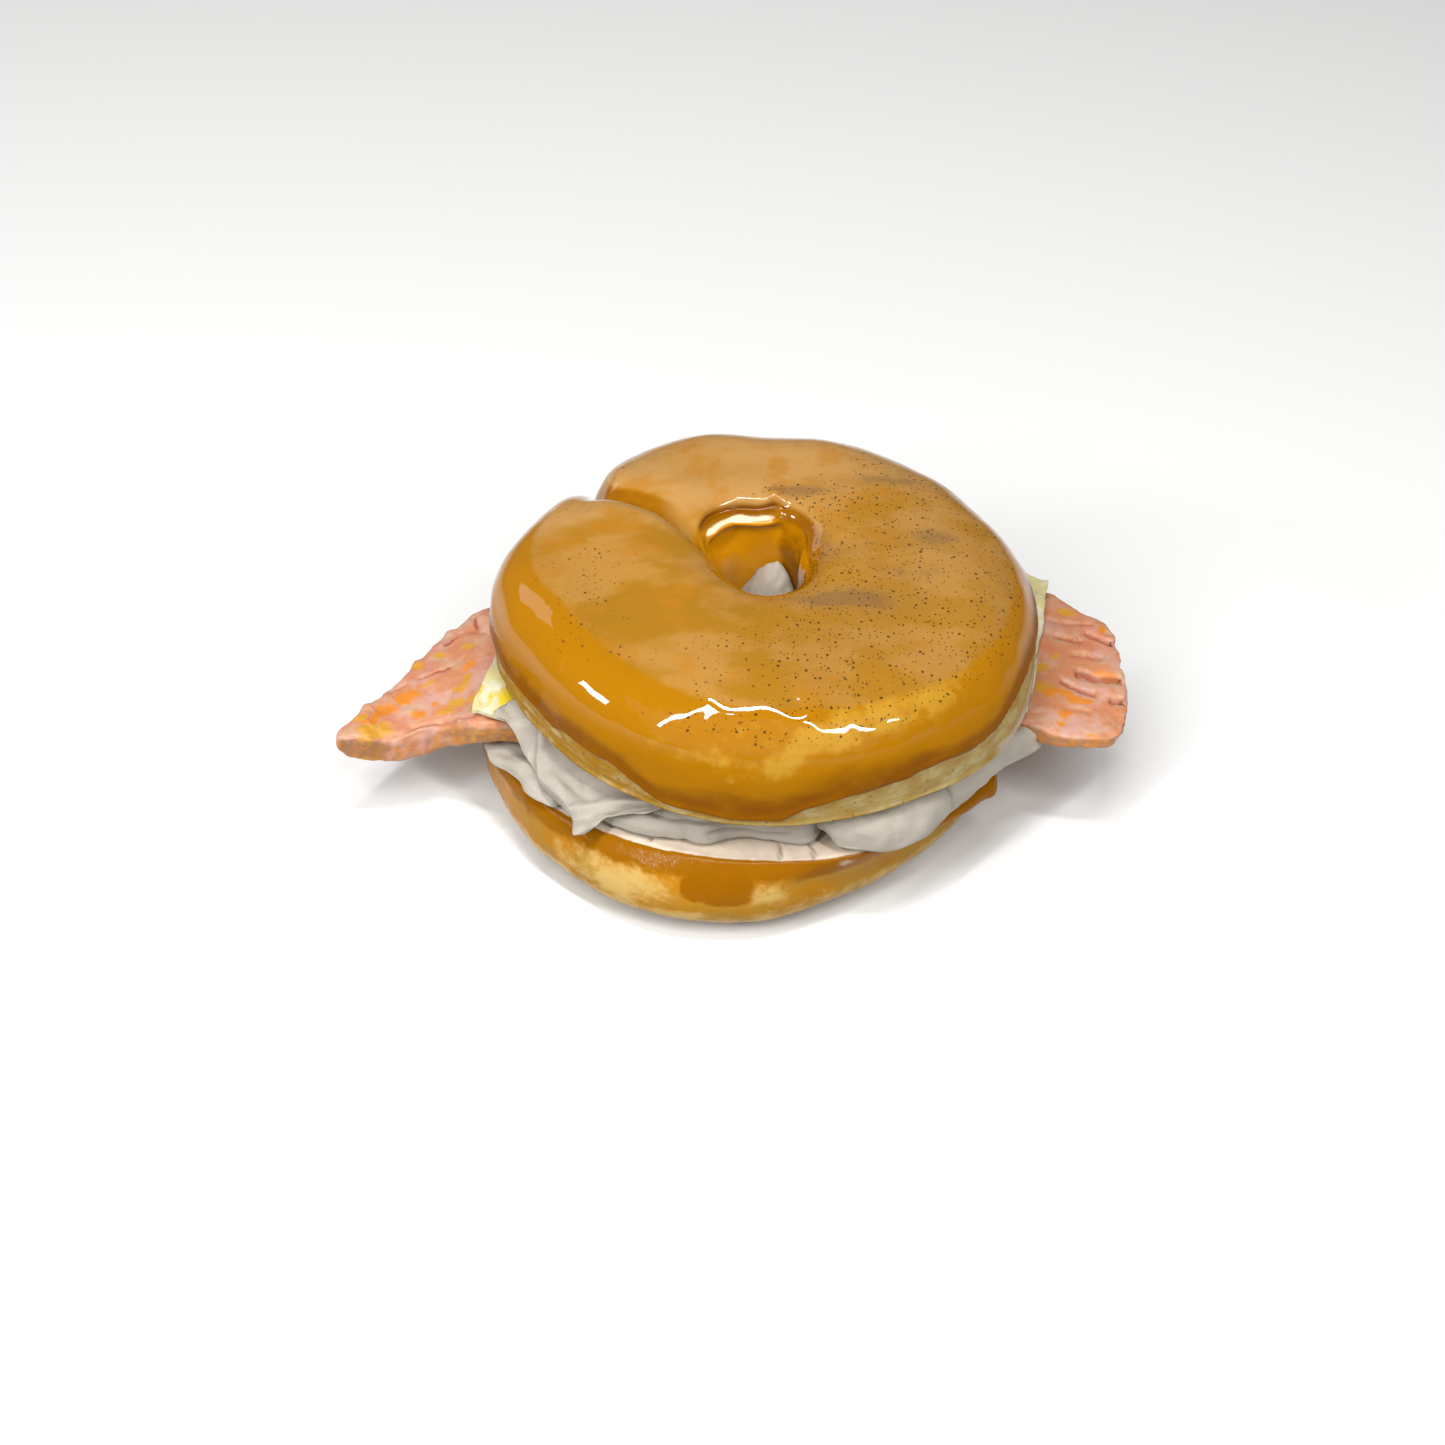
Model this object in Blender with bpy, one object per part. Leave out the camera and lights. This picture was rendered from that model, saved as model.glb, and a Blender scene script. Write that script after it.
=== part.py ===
"""Bagel sandwich in glazed clay: two ring halves, cream, smoked fish and a thin yellow slice.

Lengths are in millimetres and angles in degrees, and each mesh is written out in metres.
X runs to the right, Y to the back and Z up.  The lower half rests on Z = 0, and at the end
all pieces are shifted together so that the middle of their box stands over the origin.
"""
import math

import bmesh
import bpy
import numpy as np

MM = 0.001
COLLECTION = "bagel_with_lox"

# The pile, from the bottom up.
GAP = 0.35
LOWER_HEIGHT = 20.0
SPREAD_THICKNESS = 2.6
FISH_THICKNESS = 7.2
SLICE_THICKNESS = 1.2
UPPER_CUT_MID = 35.0
UPPER_CUT_SLOPE = 0.055
UPPER_HEIGHT = 24.5
UPPER_HEIGHT_SLOPE = -0.045

SPREAD_FLOOR = LOWER_HEIGHT + GAP
SPREAD_TOP = SPREAD_FLOOR + SPREAD_THICKNESS
FISH_FLOOR = SPREAD_TOP + GAP
FISH_TOP = FISH_FLOOR + FISH_THICKNESS
SLICE_FLOOR = FISH_TOP + GAP
SLICE_TOP = SLICE_FLOOR + SLICE_THICKNESS

# Half the width of the dough between hole and outline, on average.
HALF_WIDTH = 25.0

# Upper half: its outline has one radius every 30 degrees, from +X towards +Y.
UPPER_ROWS = 88
UPPER_STEPS = (14, 2, 4, 3)
UPPER_CENTRE = (2.0, 3.0)
UPPER_OUTLINE = (57.8, 52.8, 51.8, 49.3, 54.6, 55.0, 60.5, 57.0, 55.8, 55.4, 56.4, 58.4)
UPPER_CURL = 2.0
UPPER_BULGE = 8.0
UPPER_POWER_OUT = 2.8
UPPER_POWER_IN = 2.9
UPPER_HOLE_CENTRE = (-0.5, 8.5)
UPPER_HOLE_RADIUS = 9.5
SEAM_ANGLE = 154.0
SEAM_SWEEP = 10.5
SEAM_DROP = 7.0
SEAM_NOTCH = 7.0
SEAM_STEEP = 16.0
SEAM_GENTLE = 18.0
SEAM_RADIUS = 45.0
SEAM_CROWDING = 0.6
SEAM_CROWDED = 40.0
SEAM_FADE = 60.0
PRESS_HEIGHT = 0.6
PRESS_LENGTH = 34.0
PRESS_SEED = 3

# Lower half: outline at its bulge and at the rim of its cut face, every 30 degrees.
LOWER_ROWS = 64
LOWER_STEPS = (12, 2, 4, 2)
LOWER_CENTRE = (-3.0, 3.0)
LOWER_OUTLINE = (60.0, 60.0, 58.5, 57.5, 58.5, 60.0, 60.0, 59.0, 59.8, 58.6, 56.0, 58.0)
LOWER_RIM = (60.5, 58.5, 56.5, 55.0, 56.0, 58.5, 60.5, 58.0, 54.7, 53.9, 57.8, 60.5)
LOWER_BULGE = 10.0
LOWER_ARCH = 22.0
LOWER_POWER = 2.2
LOWER_HOLE_CENTRE = (-1.0, 5.0)
LOWER_HOLE_RADIUS = 9.5

# Section of a spread of cream, from its rim to its middle: shares of reach and thickness.
SPREAD_REACH = (1.0, 0.985, 0.95, 0.88, 0.75, 0.5, 0.22, 0.1, 0.0)
SPREAD_LIFT = (0.0, 0.45, 0.7, 0.88, 0.97, 1.0, 1.0, 1.0, 1.0)

# Lower cream: its outline every 30 degrees, the step back where the lobe lies, and the
# places (start, end) where its top climbs in front of the fish and behind it.
LOWER_CREAM_ROWS = 56
LOWER_CREAM_CENTRE = (-3.0, 3.0)
LOWER_CREAM_OUTLINE = (42.0, 46.0, 49.0, 49.0, 50.0, 53.0, 57.0, 58.5, 51.0, 49.0, 50.0, 44.0)
LOWER_CREAM_STEP = 14.0
LOWER_CREAM_STEP_OUT = (286.0, 302.0)
LOWER_CREAM_STEP_BACK = (340.0, 380.0)
LOWER_CREAM_WAIST = 1.2
TONGUE_RISE = 1.0
SLAB_RISE = 5.6
SLAB_FROM_Y = (-21.0, -26.0)
SLAB_FROM_X = (-31.0, -21.0)
BACK_RISE = 6.0
BACK_FROM_Y = (30.0, 37.0)

# Right lobe: a roll of cream bent round the rim between two angles.
LOBE_MESH = (24, 26)
LOBE_ANGLES = (287.0, 337.0)
LOBE_OUTER = (56.0, 64.0)
LOBE_OUTER_TURN = (0.4, 1.0)
LOBE_INNER = (38.0, 50.0)
LOBE_INNER_TURN = (0.5, 1.0)
LOBE_WAIST = 2.5
LOBE_BLUNT = 0.5
LOBE_SQUARE_TOP = 0.8
LOBE_SQUARE_FOOT = 0.25

# Fish: plan edges and drop of its floor, as (X, value) stations from tip to torn end.
FISH_MESH = (34, 8, 4)
FISH_LENGTH = ((-1.0, -92.0), (0.0, -5.0), (1.0, 81.0))
FISH_FRONT = ((-92.0, -18.5), (-88.0, -18.5), (-78.0, -16.2), (-68.0, -16.5), (-60.0, -20.3),
              (-52.0, -20.5), (-30.0, -18.0), (45.0, -14.0), (57.0, -19.0), (66.0, -23.0),
              (74.0, -24.5), (77.5, -23.0), (81.0, -9.0))
FISH_BACK = ((-92.0, -16.5), (-89.7, -13.0), (-86.5, -7.7), (-82.3, -2.0), (-79.7, 3.2),
             (-76.6, 9.6), (-73.5, 15.0), (-70.2, 18.1), (-66.2, 20.7), (-61.7, 21.5),
             (-35.0, 24.0), (45.0, 26.0), (66.0, 26.3), (75.0, 19.2), (79.0, 16.0), (81.0, 12.0))
FISH_SAG = ((-92.0, -5.8), (-88.0, -5.4), (-80.0, -6.3), (-73.0, -5.5), (-69.0, -4.6),
            (-65.0, -2.6), (-60.0, -0.5), (-54.0, 0.0), (55.0, 0.0), (70.0, -0.8), (81.0, -1.2))
FISH_SWELL = ((-92.0, -3.2), (-89.0, -0.5), (-84.0, 1.3), (-75.0, 2.4), (-70.0, 2.2),
              (-66.0, 1.6), (-63.5, 0.6), (-61.0, 0.0), (-57.5, 0.0), (60.0, 0.0), (81.0, -1.6))
FISH_TUCK = 0.06
FISH_THIN_EDGE = 0.18

# Yellow slice: corners in plan, and steps along its length, width and thickness.
SLICE_CORNERS = ((-62.0, -17.6), (57.0, -18.0), (66.5, 27.0), (-51.0, 25.0))
SLICE_MESH = (24, 8, 1)

# Upper cream: its outline every 30 degrees about the upper hole, the mass that droops over
# the left front, the pointed flap on it, and the bump that shows in the hole.
UPPER_CREAM_ROWS = 84
UPPER_CREAM_OUTLINE = (47.0, 44.0, 41.0, 38.0, 40.0, 44.0, 46.0, 47.0, 48.0, 48.0, 47.0, 47.0)
MASS_REACH = 13.5
MASS_ANGLES = (-38.0, -26.0, 0.0, 22.0)
FLAP_ANGLE = 236.0
FLAP_REACH = 6.5
FLAP_WIDTH = 4.0
DROOP_ANGLE = 222.0
DROOP_WIDTH = 27.0
DROOP_FROM_Y = (-21.5, -27.0)
TOP_DROOPS = ((6.0, 51.0, 60.0), (1.6, 60.0, 64.0))
FLOOR_DROOP = (8.2, 49.0, 56.0)
FLAP_DROOP = (2.2, 56.0, 63.0)
FLAP_DROOP_WIDTH = 8.0
THINNEST_CREAM = 0.8
HOLE_CREAM = 5.0
HOLE_CREAM_MARGIN = 1.0

# Colours (red, green, blue) and roughness of the glazes and clays.
TOP_GLAZE = ((0.55, 0.25, 0.02), 0.12)
BOTTOM_GLAZE = ((0.52, 0.27, 0.03), 0.2)
WHITE_CLAY = ((0.62, 0.54, 0.43), 0.7)
PINK_CLAY = ((0.76, 0.38, 0.2), 0.45)
YELLOW_CLAY = ((0.75, 0.6, 0.2), 0.4)


def smooth(value, start, end):
    """Smooth step: 0 at start, 1 at end (which may be the lower one), level at both."""
    t = np.clip((value - start) / (end - start), 0.0, 1.0)
    return t * t * (3.0 - 2.0 * t)


def hill(value, middle, width):
    """Bell curve of height 1."""
    return np.exp(-((value - middle) / width) ** 2)


def turned(angle, start):
    """Angle from start, in degrees, between -180 and 180."""
    return (angle - start + 180.0) % 360.0 - 180.0


def round_curve(values, angle):
    """Closed Catmull-Rom curve through values spaced evenly round a full turn."""
    knots = np.asarray(values, float)
    count = len(knots)
    place = np.mod(angle / 360.0, 1.0) * count
    low = np.floor(place).astype(int)
    t = place - low
    a, b, c, d = (knots[(low + step) % count] for step in (-1, 0, 1, 2))
    return b + 0.5 * t * (c - a + t * (2 * a - 5 * b + 4 * c - d + t * (3 * (b - c) + d - a)))


def open_curve(stations, value):
    """Smooth curve through (place, height) stations that never swings past them."""
    place, height = np.asarray(stations, float).T
    chord = np.diff(height) / np.diff(place)
    product = chord[:-1] * chord[1:]
    total = np.where(product > 0, chord[:-1] + chord[1:], 1.0)
    slope = np.concatenate((chord[:1], np.maximum(product, 0.0) * 2.0 / total, chord[-1:]))
    low = np.clip(np.searchsorted(place, value) - 1, 0, len(place) - 2)
    span = place[low + 1] - place[low]
    t = np.clip((value - place[low]) / span, 0.0, 1.0)
    rise = height[low + 1] - height[low]
    ease = t * t * (3 - 2 * t)
    leave = t * (1 - t) ** 2 * span * slope[low]
    arrive = t * t * (t - 1) * span * slope[low + 1]
    return height[low] + rise * ease + leave + arrive


def undulation(x, y, seed, length):
    """Hand-pressed unevenness between about -1 and 1: a few sine waves of random heading."""
    draw = np.random.default_rng(seed)
    total = np.zeros_like(x)
    for _ in range(5):
        heading = draw.uniform(0.0, 2.0 * math.pi)
        wave = 2.0 * math.pi / (length * draw.uniform(0.7, 1.6))
        phase = draw.uniform(0.0, 2.0 * math.pi)
        total += np.sin(wave * (x * math.cos(heading) + y * math.sin(heading)) + phase)
    return total / 3.0


def upper_cut(y):
    """Height of the upper half's cut face, which leans forward."""
    return UPPER_CUT_MID + UPPER_CUT_SLOPE * y


# ---------------------------------------------------------------------------
# Materials and meshes
# ---------------------------------------------------------------------------

def clay(name, colour, roughness):
    """Fired clay or glaze: a Principled material of one colour."""
    material = bpy.data.materials.new(name)
    material.use_nodes = True
    shader = material.node_tree.nodes["Principled BSDF"]
    shader.inputs["Base Color"].default_value = (*colour, 1.0)
    shader.inputs["Roughness"].default_value = roughness
    shader.inputs["Metallic"].default_value = 0.0
    return material


def vertices_of(obj):
    """The mesh's vertex positions as an array with one row each."""
    flat = np.empty(len(obj.data.vertices) * 3)
    obj.data.vertices.foreach_get("co", flat)
    return flat.reshape(-1, 3)


def finish(obj, name, x, y, z, material, sharp=40.0):
    """Put the mesh at its place, name it, colour it and shade it smooth."""
    places = np.column_stack((x, y, z)) * MM
    obj.data.vertices.foreach_set("co", places.ravel())
    obj.data.update()
    obj.name = name
    obj.data.name = name
    obj.data.materials.append(material)
    obj.data.shade_smooth()
    obj.data.set_sharp_from_angle(angle=math.radians(sharp))
    for holder in list(obj.users_collection):
        holder.objects.unlink(obj)
    bpy.data.collections[COLLECTION].objects.link(obj)
    return obj


def ring_mesh(around, across):
    """Torus and its vertices' two angles: round the ring, and round the tube from outside."""
    bpy.ops.mesh.primitive_torus_add(
        major_segments=around, minor_segments=across, major_radius=1.0, minor_radius=0.4)
    obj = bpy.context.object
    x, y, z = vertices_of(obj).T
    ring = np.degrees(np.arctan2(y, x))
    tube = np.degrees(np.arctan2(z, np.hypot(x, y) - 1.0)) % 360.0
    return obj, ring, np.round(tube, 3)


def ball_mesh(around, rows):
    """Sphere and its vertices' two angles: round its axis, and up from its equator."""
    bpy.ops.mesh.primitive_uv_sphere_add(segments=around, ring_count=rows, radius=1.0)
    obj = bpy.context.object
    x, y, z = vertices_of(obj).T
    return obj, np.degrees(np.arctan2(y, x)), np.degrees(np.arcsin(np.clip(z, -1.0, 1.0)))


def box_mesh(cuts):
    """Cube whose edges along X, Y and Z are cut into that many steps, from -1 to 1."""
    mesh = bpy.data.meshes.new("box")
    grid = bmesh.new()
    bmesh.ops.create_cube(grid, size=2.0)
    for axis, steps in enumerate(cuts):
        along = [edge for edge in grid.edges
                 if abs(edge.verts[0].co[axis] - edge.verts[1].co[axis]) > 1.0]
        bmesh.ops.subdivide_edges(grid, edges=along, cuts=steps - 1, use_grid_fill=True)
    grid.to_mesh(mesh)
    grid.free()
    obj = bpy.data.objects.new("box", mesh)
    bpy.context.scene.collection.objects.link(obj)
    x, y, z = vertices_of(obj).T
    return obj, x, y, z


def flip_faces(obj):
    """Turn the faces over, for a shape that is mapped upside down."""
    mesh = bmesh.new()
    mesh.from_mesh(obj.data)
    bmesh.ops.reverse_faces(mesh, faces=mesh.faces)
    mesh.to_mesh(obj.data)
    mesh.free()


# ---------------------------------------------------------------------------
# Bagel halves
# ---------------------------------------------------------------------------

def half_section(tube, steps, bulge, height, curl, power_out, power_in):
    """Half a bagel's section: reach from -1 at the hole to 1 outside, and rise off the cut.

    Above the bulge it is a superellipse.  Below it both walls curl in to the rim of the
    flat cut face, by the share curl of half the width.  The steps count the mesh's rows on
    the arch, the hole's lower wall, the cut face and the outer lower wall.
    """
    rows = np.cumsum((0, *steps)) * 360.0 / sum(steps)
    angle = np.interp(tube, rows, (0, 180, 225, 315, 360))
    cosine = np.cos(np.radians(angle))
    sine = np.sin(np.radians(angle))
    power = np.where(cosine > 0, power_out, power_in)
    reach = np.sign(cosine) * np.abs(cosine) ** (2.0 / power)
    rise = bulge + (height - bulge) * np.abs(sine) ** (2.0 / power)
    tuck = np.where(angle >= 315, (360 - angle) / 45.0, (angle - 180) / 45.0)
    side = np.where(angle >= 270, 1.0, -1.0)
    below = angle > 180
    flat = (angle > 225) & (angle < 315)
    walls = side * (1.0 - curl * tuck ** 2)
    face = (angle - 270) / 45.0 * (1.0 - curl)
    reach = np.where(below, np.where(flat, face, walls), reach)
    rise = np.where(below, np.where(flat, 0.0, bulge * (1.0 - tuck)), rise)
    return reach, rise


def ring_place(angle, reach, centre, outline, hole_centre, hole_radius):
    """Point on the straight line from the hole's edge to the outline, both at this angle."""
    share = (1.0 + reach) / 2.0
    cosine = np.cos(np.radians(angle))
    sine = np.sin(np.radians(angle))
    x = share * (centre[0] + outline * cosine)
    y = share * (centre[1] + outline * sine)
    x += (1.0 - share) * (hole_centre[0] + hole_radius * cosine)
    y += (1.0 - share) * (hole_centre[1] + hole_radius * sine)
    return x, y


def seam_fall(distance):
    """Share of the seam's depth: a round arm end on the far side, a gentle slope before it."""
    over = np.clip(distance / SEAM_STEEP, 0.0, 1.0)
    under = np.clip(-distance / SEAM_GENTLE, 0.0, 1.0)
    return np.where(distance > 0, 1.0 - np.sqrt(1.0 - (1.0 - over) ** 2), (1.0 - under) ** 2)


def make_upper_half():
    """Upper half: one arm of the ring laps over the other in a seam from rim to hole."""
    obj, ring, tube = ring_mesh(UPPER_ROWS, sum(UPPER_STEPS))
    reach, rise = half_section(tube, UPPER_STEPS, UPPER_BULGE, UPPER_HEIGHT,
                               UPPER_CURL / HALF_WIDTH, UPPER_POWER_OUT, UPPER_POWER_IN)
    away = turned(ring, 0.0)
    away = away * (1.0 - SEAM_CROWDING * hill(away, 0.0, SEAM_CROWDED))
    angle = SEAM_ANGLE + away - SEAM_SWEEP * reach * hill(away, 0.0, SEAM_FADE)
    fall = seam_fall(np.radians(away) * SEAM_RADIUS)
    outline = round_curve(UPPER_OUTLINE, angle) - SEAM_NOTCH * fall * np.clip(reach, 0.0, 1.0)
    x, y = ring_place(angle, reach, UPPER_CENTRE, outline, UPPER_HOLE_CENTRE,
                      UPPER_HOLE_RADIUS)
    crown = np.clip(rise / UPPER_HEIGHT, 0.0, 1.0)
    rise = rise * (1.0 + UPPER_HEIGHT_SLOPE * y / UPPER_HEIGHT)
    pressed = PRESS_HEIGHT * undulation(x, y, PRESS_SEED, PRESS_LENGTH)
    z = upper_cut(y) + rise + crown * (pressed - SEAM_DROP * fall)
    return finish(obj, "bagel_top", x, y, z, clay("amber_glaze", *TOP_GLAZE))


def make_lower_half():
    """Lower half: cut face up, arched underside with a flat place to rest on."""
    obj, ring, tube = ring_mesh(LOWER_ROWS, sum(LOWER_STEPS))
    outline = round_curve(LOWER_OUTLINE, ring)
    curl = (outline - round_curve(LOWER_RIM, ring)) / HALF_WIDTH
    reach, rise = half_section(tube, LOWER_STEPS, LOWER_BULGE, LOWER_ARCH, curl,
                               LOWER_POWER, LOWER_POWER)
    x, y = ring_place(ring, reach, LOWER_CENTRE, outline, LOWER_HOLE_CENTRE,
                      LOWER_HOLE_RADIUS)
    z = np.maximum(LOWER_HEIGHT - rise, 0.0)
    flip_faces(obj)
    return finish(obj, "bagel_bottom", x, y, z, clay("baked_glaze", *BOTTOM_GLAZE))


# ---------------------------------------------------------------------------
# Fillings
# ---------------------------------------------------------------------------

def pillow(around, centre, outline):
    """Flat ball: plan position, and share of the way to the top (+) or bottom (-) surface."""
    steps = len(SPREAD_REACH) - 1
    obj, angle, height = ball_mesh(around, 2 * steps)
    row = np.abs(height) / 90.0 * steps
    spread = np.interp(row, np.arange(steps + 1), SPREAD_REACH)
    lift = np.sign(height) * np.interp(row, np.arange(steps + 1), SPREAD_LIFT)
    radius = outline(angle) * spread
    x = centre[0] + radius * np.cos(np.radians(angle))
    y = centre[1] + radius * np.sin(np.radians(angle))
    return obj, lift, x, y


def lower_cream_top(x, y):
    """Top of the lower cream: level under the fish, raised in front of it and behind it."""
    front = smooth(y, *SLAB_FROM_Y) * (TONGUE_RISE + SLAB_RISE * smooth(x, *SLAB_FROM_X))
    return SPREAD_TOP + front + BACK_RISE * smooth(y, *BACK_FROM_Y)


def make_lower_cream():
    """Lower cream: a spread under the fish with a tongue at the left and a thick front edge."""
    def outline(angle):
        turn = 200.0 + turned(angle, 200.0)
        step = smooth(turn, *LOWER_CREAM_STEP_OUT) * (1.0 - smooth(turn, *LOWER_CREAM_STEP_BACK))
        return round_curve(LOWER_CREAM_OUTLINE, angle) - LOWER_CREAM_STEP * step
    obj, lift, x, y = pillow(LOWER_CREAM_ROWS, LOWER_CREAM_CENTRE, outline)
    middle = SPREAD_FLOOR + LOWER_CREAM_WAIST
    top = lower_cream_top(x, y)
    z = np.where(lift > 0, middle + (top - middle) * lift,
                 middle + (middle - SPREAD_FLOOR) * lift)
    return finish(obj, "cream_lower", x, y, z, clay("matt_white_clay", *WHITE_CLAY))


def make_right_lobe():
    """Right lobe: a fat roll of cream bent round the rim, from the front to the fish."""
    obj, section, along = ball_mesh(*LOBE_MESH)
    turn = (np.sin(np.radians(along)) + 1.0) / 2.0
    angle = np.radians(LOBE_ANGLES[0] + (LOBE_ANGLES[1] - LOBE_ANGLES[0]) * turn)
    size = np.cos(np.radians(along)) ** LOBE_BLUNT
    cosine = np.cos(np.radians(section))
    sine = np.sin(np.radians(section))
    outer = LOBE_OUTER[0] + (LOBE_OUTER[1] - LOBE_OUTER[0]) * smooth(turn, *LOBE_OUTER_TURN)
    inner = LOBE_INNER[0] + (LOBE_INNER[1] - LOBE_INNER[0]) * smooth(turn, *LOBE_INNER_TURN)
    square = np.where(sine > 0, LOBE_SQUARE_TOP, LOBE_SQUARE_FOOT)
    across = size * np.sign(cosine) * np.abs(cosine) ** square
    radius = (outer + inner) / 2.0 + (outer - inner) / 2.0 * across
    x = UPPER_CENTRE[0] + radius * np.cos(angle)
    y = UPPER_CENTRE[1] + radius * np.sin(angle)
    waist = SPREAD_FLOOR + LOBE_WAIST
    half = np.where(sine > 0, upper_cut(y) - GAP - waist, LOBE_WAIST)
    z = waist + half * size * np.sign(sine) * np.abs(sine) ** LOBE_SQUARE_TOP
    flip_faces(obj)
    return finish(obj, "cream_lobe", x, y, z, clay("white_clay_lobe", *WHITE_CLAY))


def make_fish():
    """Fish: a thick slab with a drooping point at the left and a torn end at the right."""
    obj, a, b, c = box_mesh(FISH_MESH)
    x = open_curve(FISH_LENGTH, a)
    front = open_curve(FISH_FRONT, x)
    back = open_curve(FISH_BACK, x)
    tuck = 1.0 - FISH_TUCK * np.abs(c) ** 3
    y = (front + back) / 2.0 + (back - front) / 2.0 * b * tuck
    half = (FISH_THICKNESS + open_curve(FISH_SWELL, x)) / 2.0
    z = FISH_TOP + open_curve(FISH_SAG, x) - half + half * c * (1.0 - FISH_THIN_EDGE * b ** 6)
    return finish(obj, "salmon", x, y, z, clay("pink_fish", *PINK_CLAY))


def make_slice():
    """Yellow slice: a thin four-cornered sheet on the fish, a corner showing at each side."""
    obj, a, b, c = box_mesh(SLICE_MESH)
    corners = np.asarray(SLICE_CORNERS)
    shares = ((1 - a) * (1 - b), (1 + a) * (1 - b), (1 + a) * (1 + b), (1 - a) * (1 + b))
    x = sum(share / 4.0 * corner[0] for share, corner in zip(shares, corners))
    y = sum(share / 4.0 * corner[1] for share, corner in zip(shares, corners))
    sag = open_curve(FISH_SAG, x)
    z = (SLICE_FLOOR + SLICE_TOP) / 2.0 + sag + SLICE_THICKNESS / 2.0 * c
    return finish(obj, "cheese_slice", x, y, z, clay("yellow_slice", *YELLOW_CLAY))


def make_upper_cream():
    """Upper cream: a disc under the upper half that droops to a pointed flap, front left."""
    def outline(angle):
        away = turned(angle, FLAP_ANGLE)
        mass = smooth(away, *MASS_ANGLES[:2]) * (1.0 - smooth(away, *MASS_ANGLES[2:]))
        flap = FLAP_REACH * hill(away, 0.0, FLAP_WIDTH)
        return round_curve(UPPER_CREAM_OUTLINE, angle) + MASS_REACH * mass + flap
    obj, lift, x, y = pillow(UPPER_CREAM_ROWS, UPPER_HOLE_CENTRE, outline)
    radius = np.hypot(x - UPPER_HOLE_CENTRE[0], y - UPPER_HOLE_CENTRE[1])
    angle = np.degrees(np.arctan2(y - UPPER_HOLE_CENTRE[1], x - UPPER_HOLE_CENTRE[0]))
    left = np.exp(-(turned(angle, DROOP_ANGLE) / DROOP_WIDTH) ** 4)
    left = left * smooth(y, *DROOP_FROM_Y)
    top = upper_cut(y) - GAP
    for depth, start, end in TOP_DROOPS:
        top = top - left * depth * smooth(radius, start, end)
    top = top + HOLE_CREAM * (1.0 - smooth(radius, 0.0, UPPER_HOLE_RADIUS - HOLE_CREAM_MARGIN))
    depth, start, end = FLOOR_DROOP
    floor = SLICE_TOP + GAP - left * depth * smooth(radius, start, end)
    depth, start, end = FLAP_DROOP
    tip = hill(turned(angle, FLAP_ANGLE), 0.0, FLAP_DROOP_WIDTH)
    floor = np.minimum(floor - depth * tip * smooth(radius, start, end), top - THINNEST_CREAM)
    z = (top + floor) / 2.0 + (top - floor) / 2.0 * lift
    return finish(obj, "cream_upper", x, y, z, clay("white_clay_top", *WHITE_CLAY))


def centre_on_origin(pieces):
    """Shift every mesh so that the middle of the whole box stands over the origin."""
    corners = np.vstack([vertices_of(piece) for piece in pieces])
    low = corners.min(axis=0)
    high = corners.max(axis=0)
    shift = np.array((-(low[0] + high[0]) / 2.0, -(low[1] + high[1]) / 2.0, -low[2]))
    for piece in pieces:
        piece.data.vertices.foreach_set("co", (vertices_of(piece) + shift).ravel())
        piece.data.update()
    print("shift in millimetres:", np.round(shift / MM, 3))


def main():
    for obj in list(bpy.data.objects):
        bpy.data.objects.remove(obj)
    collection = bpy.data.collections.new(COLLECTION)
    bpy.context.scene.collection.children.link(collection)
    pieces = [make_lower_half(), make_lower_cream(), make_right_lobe(), make_fish(),
              make_slice(), make_upper_cream(), make_upper_half()]
    centre_on_origin(pieces)


main()
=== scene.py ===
"""Looks of a glazed clay bagel sandwich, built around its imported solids.

Lengths are in millimetres and angles in degrees until a mesh is written.  X runs to the
right, Y to the back and Z up, as in the frame; places are counted from the bagel's own
middle, and SHIFT carries them into the frame.
"""
import math

import bpy
import numpy as np
from mathutils import Matrix, Vector


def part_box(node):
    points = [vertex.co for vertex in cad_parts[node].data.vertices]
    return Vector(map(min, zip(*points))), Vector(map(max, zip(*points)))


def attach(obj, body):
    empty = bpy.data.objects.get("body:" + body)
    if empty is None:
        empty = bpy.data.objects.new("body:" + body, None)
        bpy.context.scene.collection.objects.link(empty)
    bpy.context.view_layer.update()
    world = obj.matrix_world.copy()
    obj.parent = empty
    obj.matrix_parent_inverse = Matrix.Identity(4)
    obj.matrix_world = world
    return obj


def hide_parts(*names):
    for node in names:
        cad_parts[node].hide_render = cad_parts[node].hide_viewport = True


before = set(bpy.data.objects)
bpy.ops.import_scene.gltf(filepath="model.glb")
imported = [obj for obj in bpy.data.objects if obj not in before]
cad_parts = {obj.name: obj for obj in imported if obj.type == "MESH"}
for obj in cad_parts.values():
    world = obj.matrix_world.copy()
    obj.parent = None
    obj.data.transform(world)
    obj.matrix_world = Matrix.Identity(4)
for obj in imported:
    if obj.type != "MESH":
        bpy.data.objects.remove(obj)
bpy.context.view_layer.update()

bl_info = {
    "name": "Glazed bagel sandwich",
    "version": (1, 0, 0),
    "blender": (4, 5, 0),
    "location": "3D View > Sidebar > Bagel",
    "description": "Surfaces, glazes and stage for a clay bagel sandwich",
    "category": "Add Mesh",
}

MM = 0.001

# Places of the fish's tip and of the slice's front corner, from the bagel's middle; the
# frame's boxes give the same points, and the difference is the shift between the two.
FISH_TIP_X = -92.0
SLICE_FRONT_Y = -18.0
SHIFT = (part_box("salmon")[0].x / MM - FISH_TIP_X,
         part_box("cheese_slice")[0].y / MM - SLICE_FRONT_Y)

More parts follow.
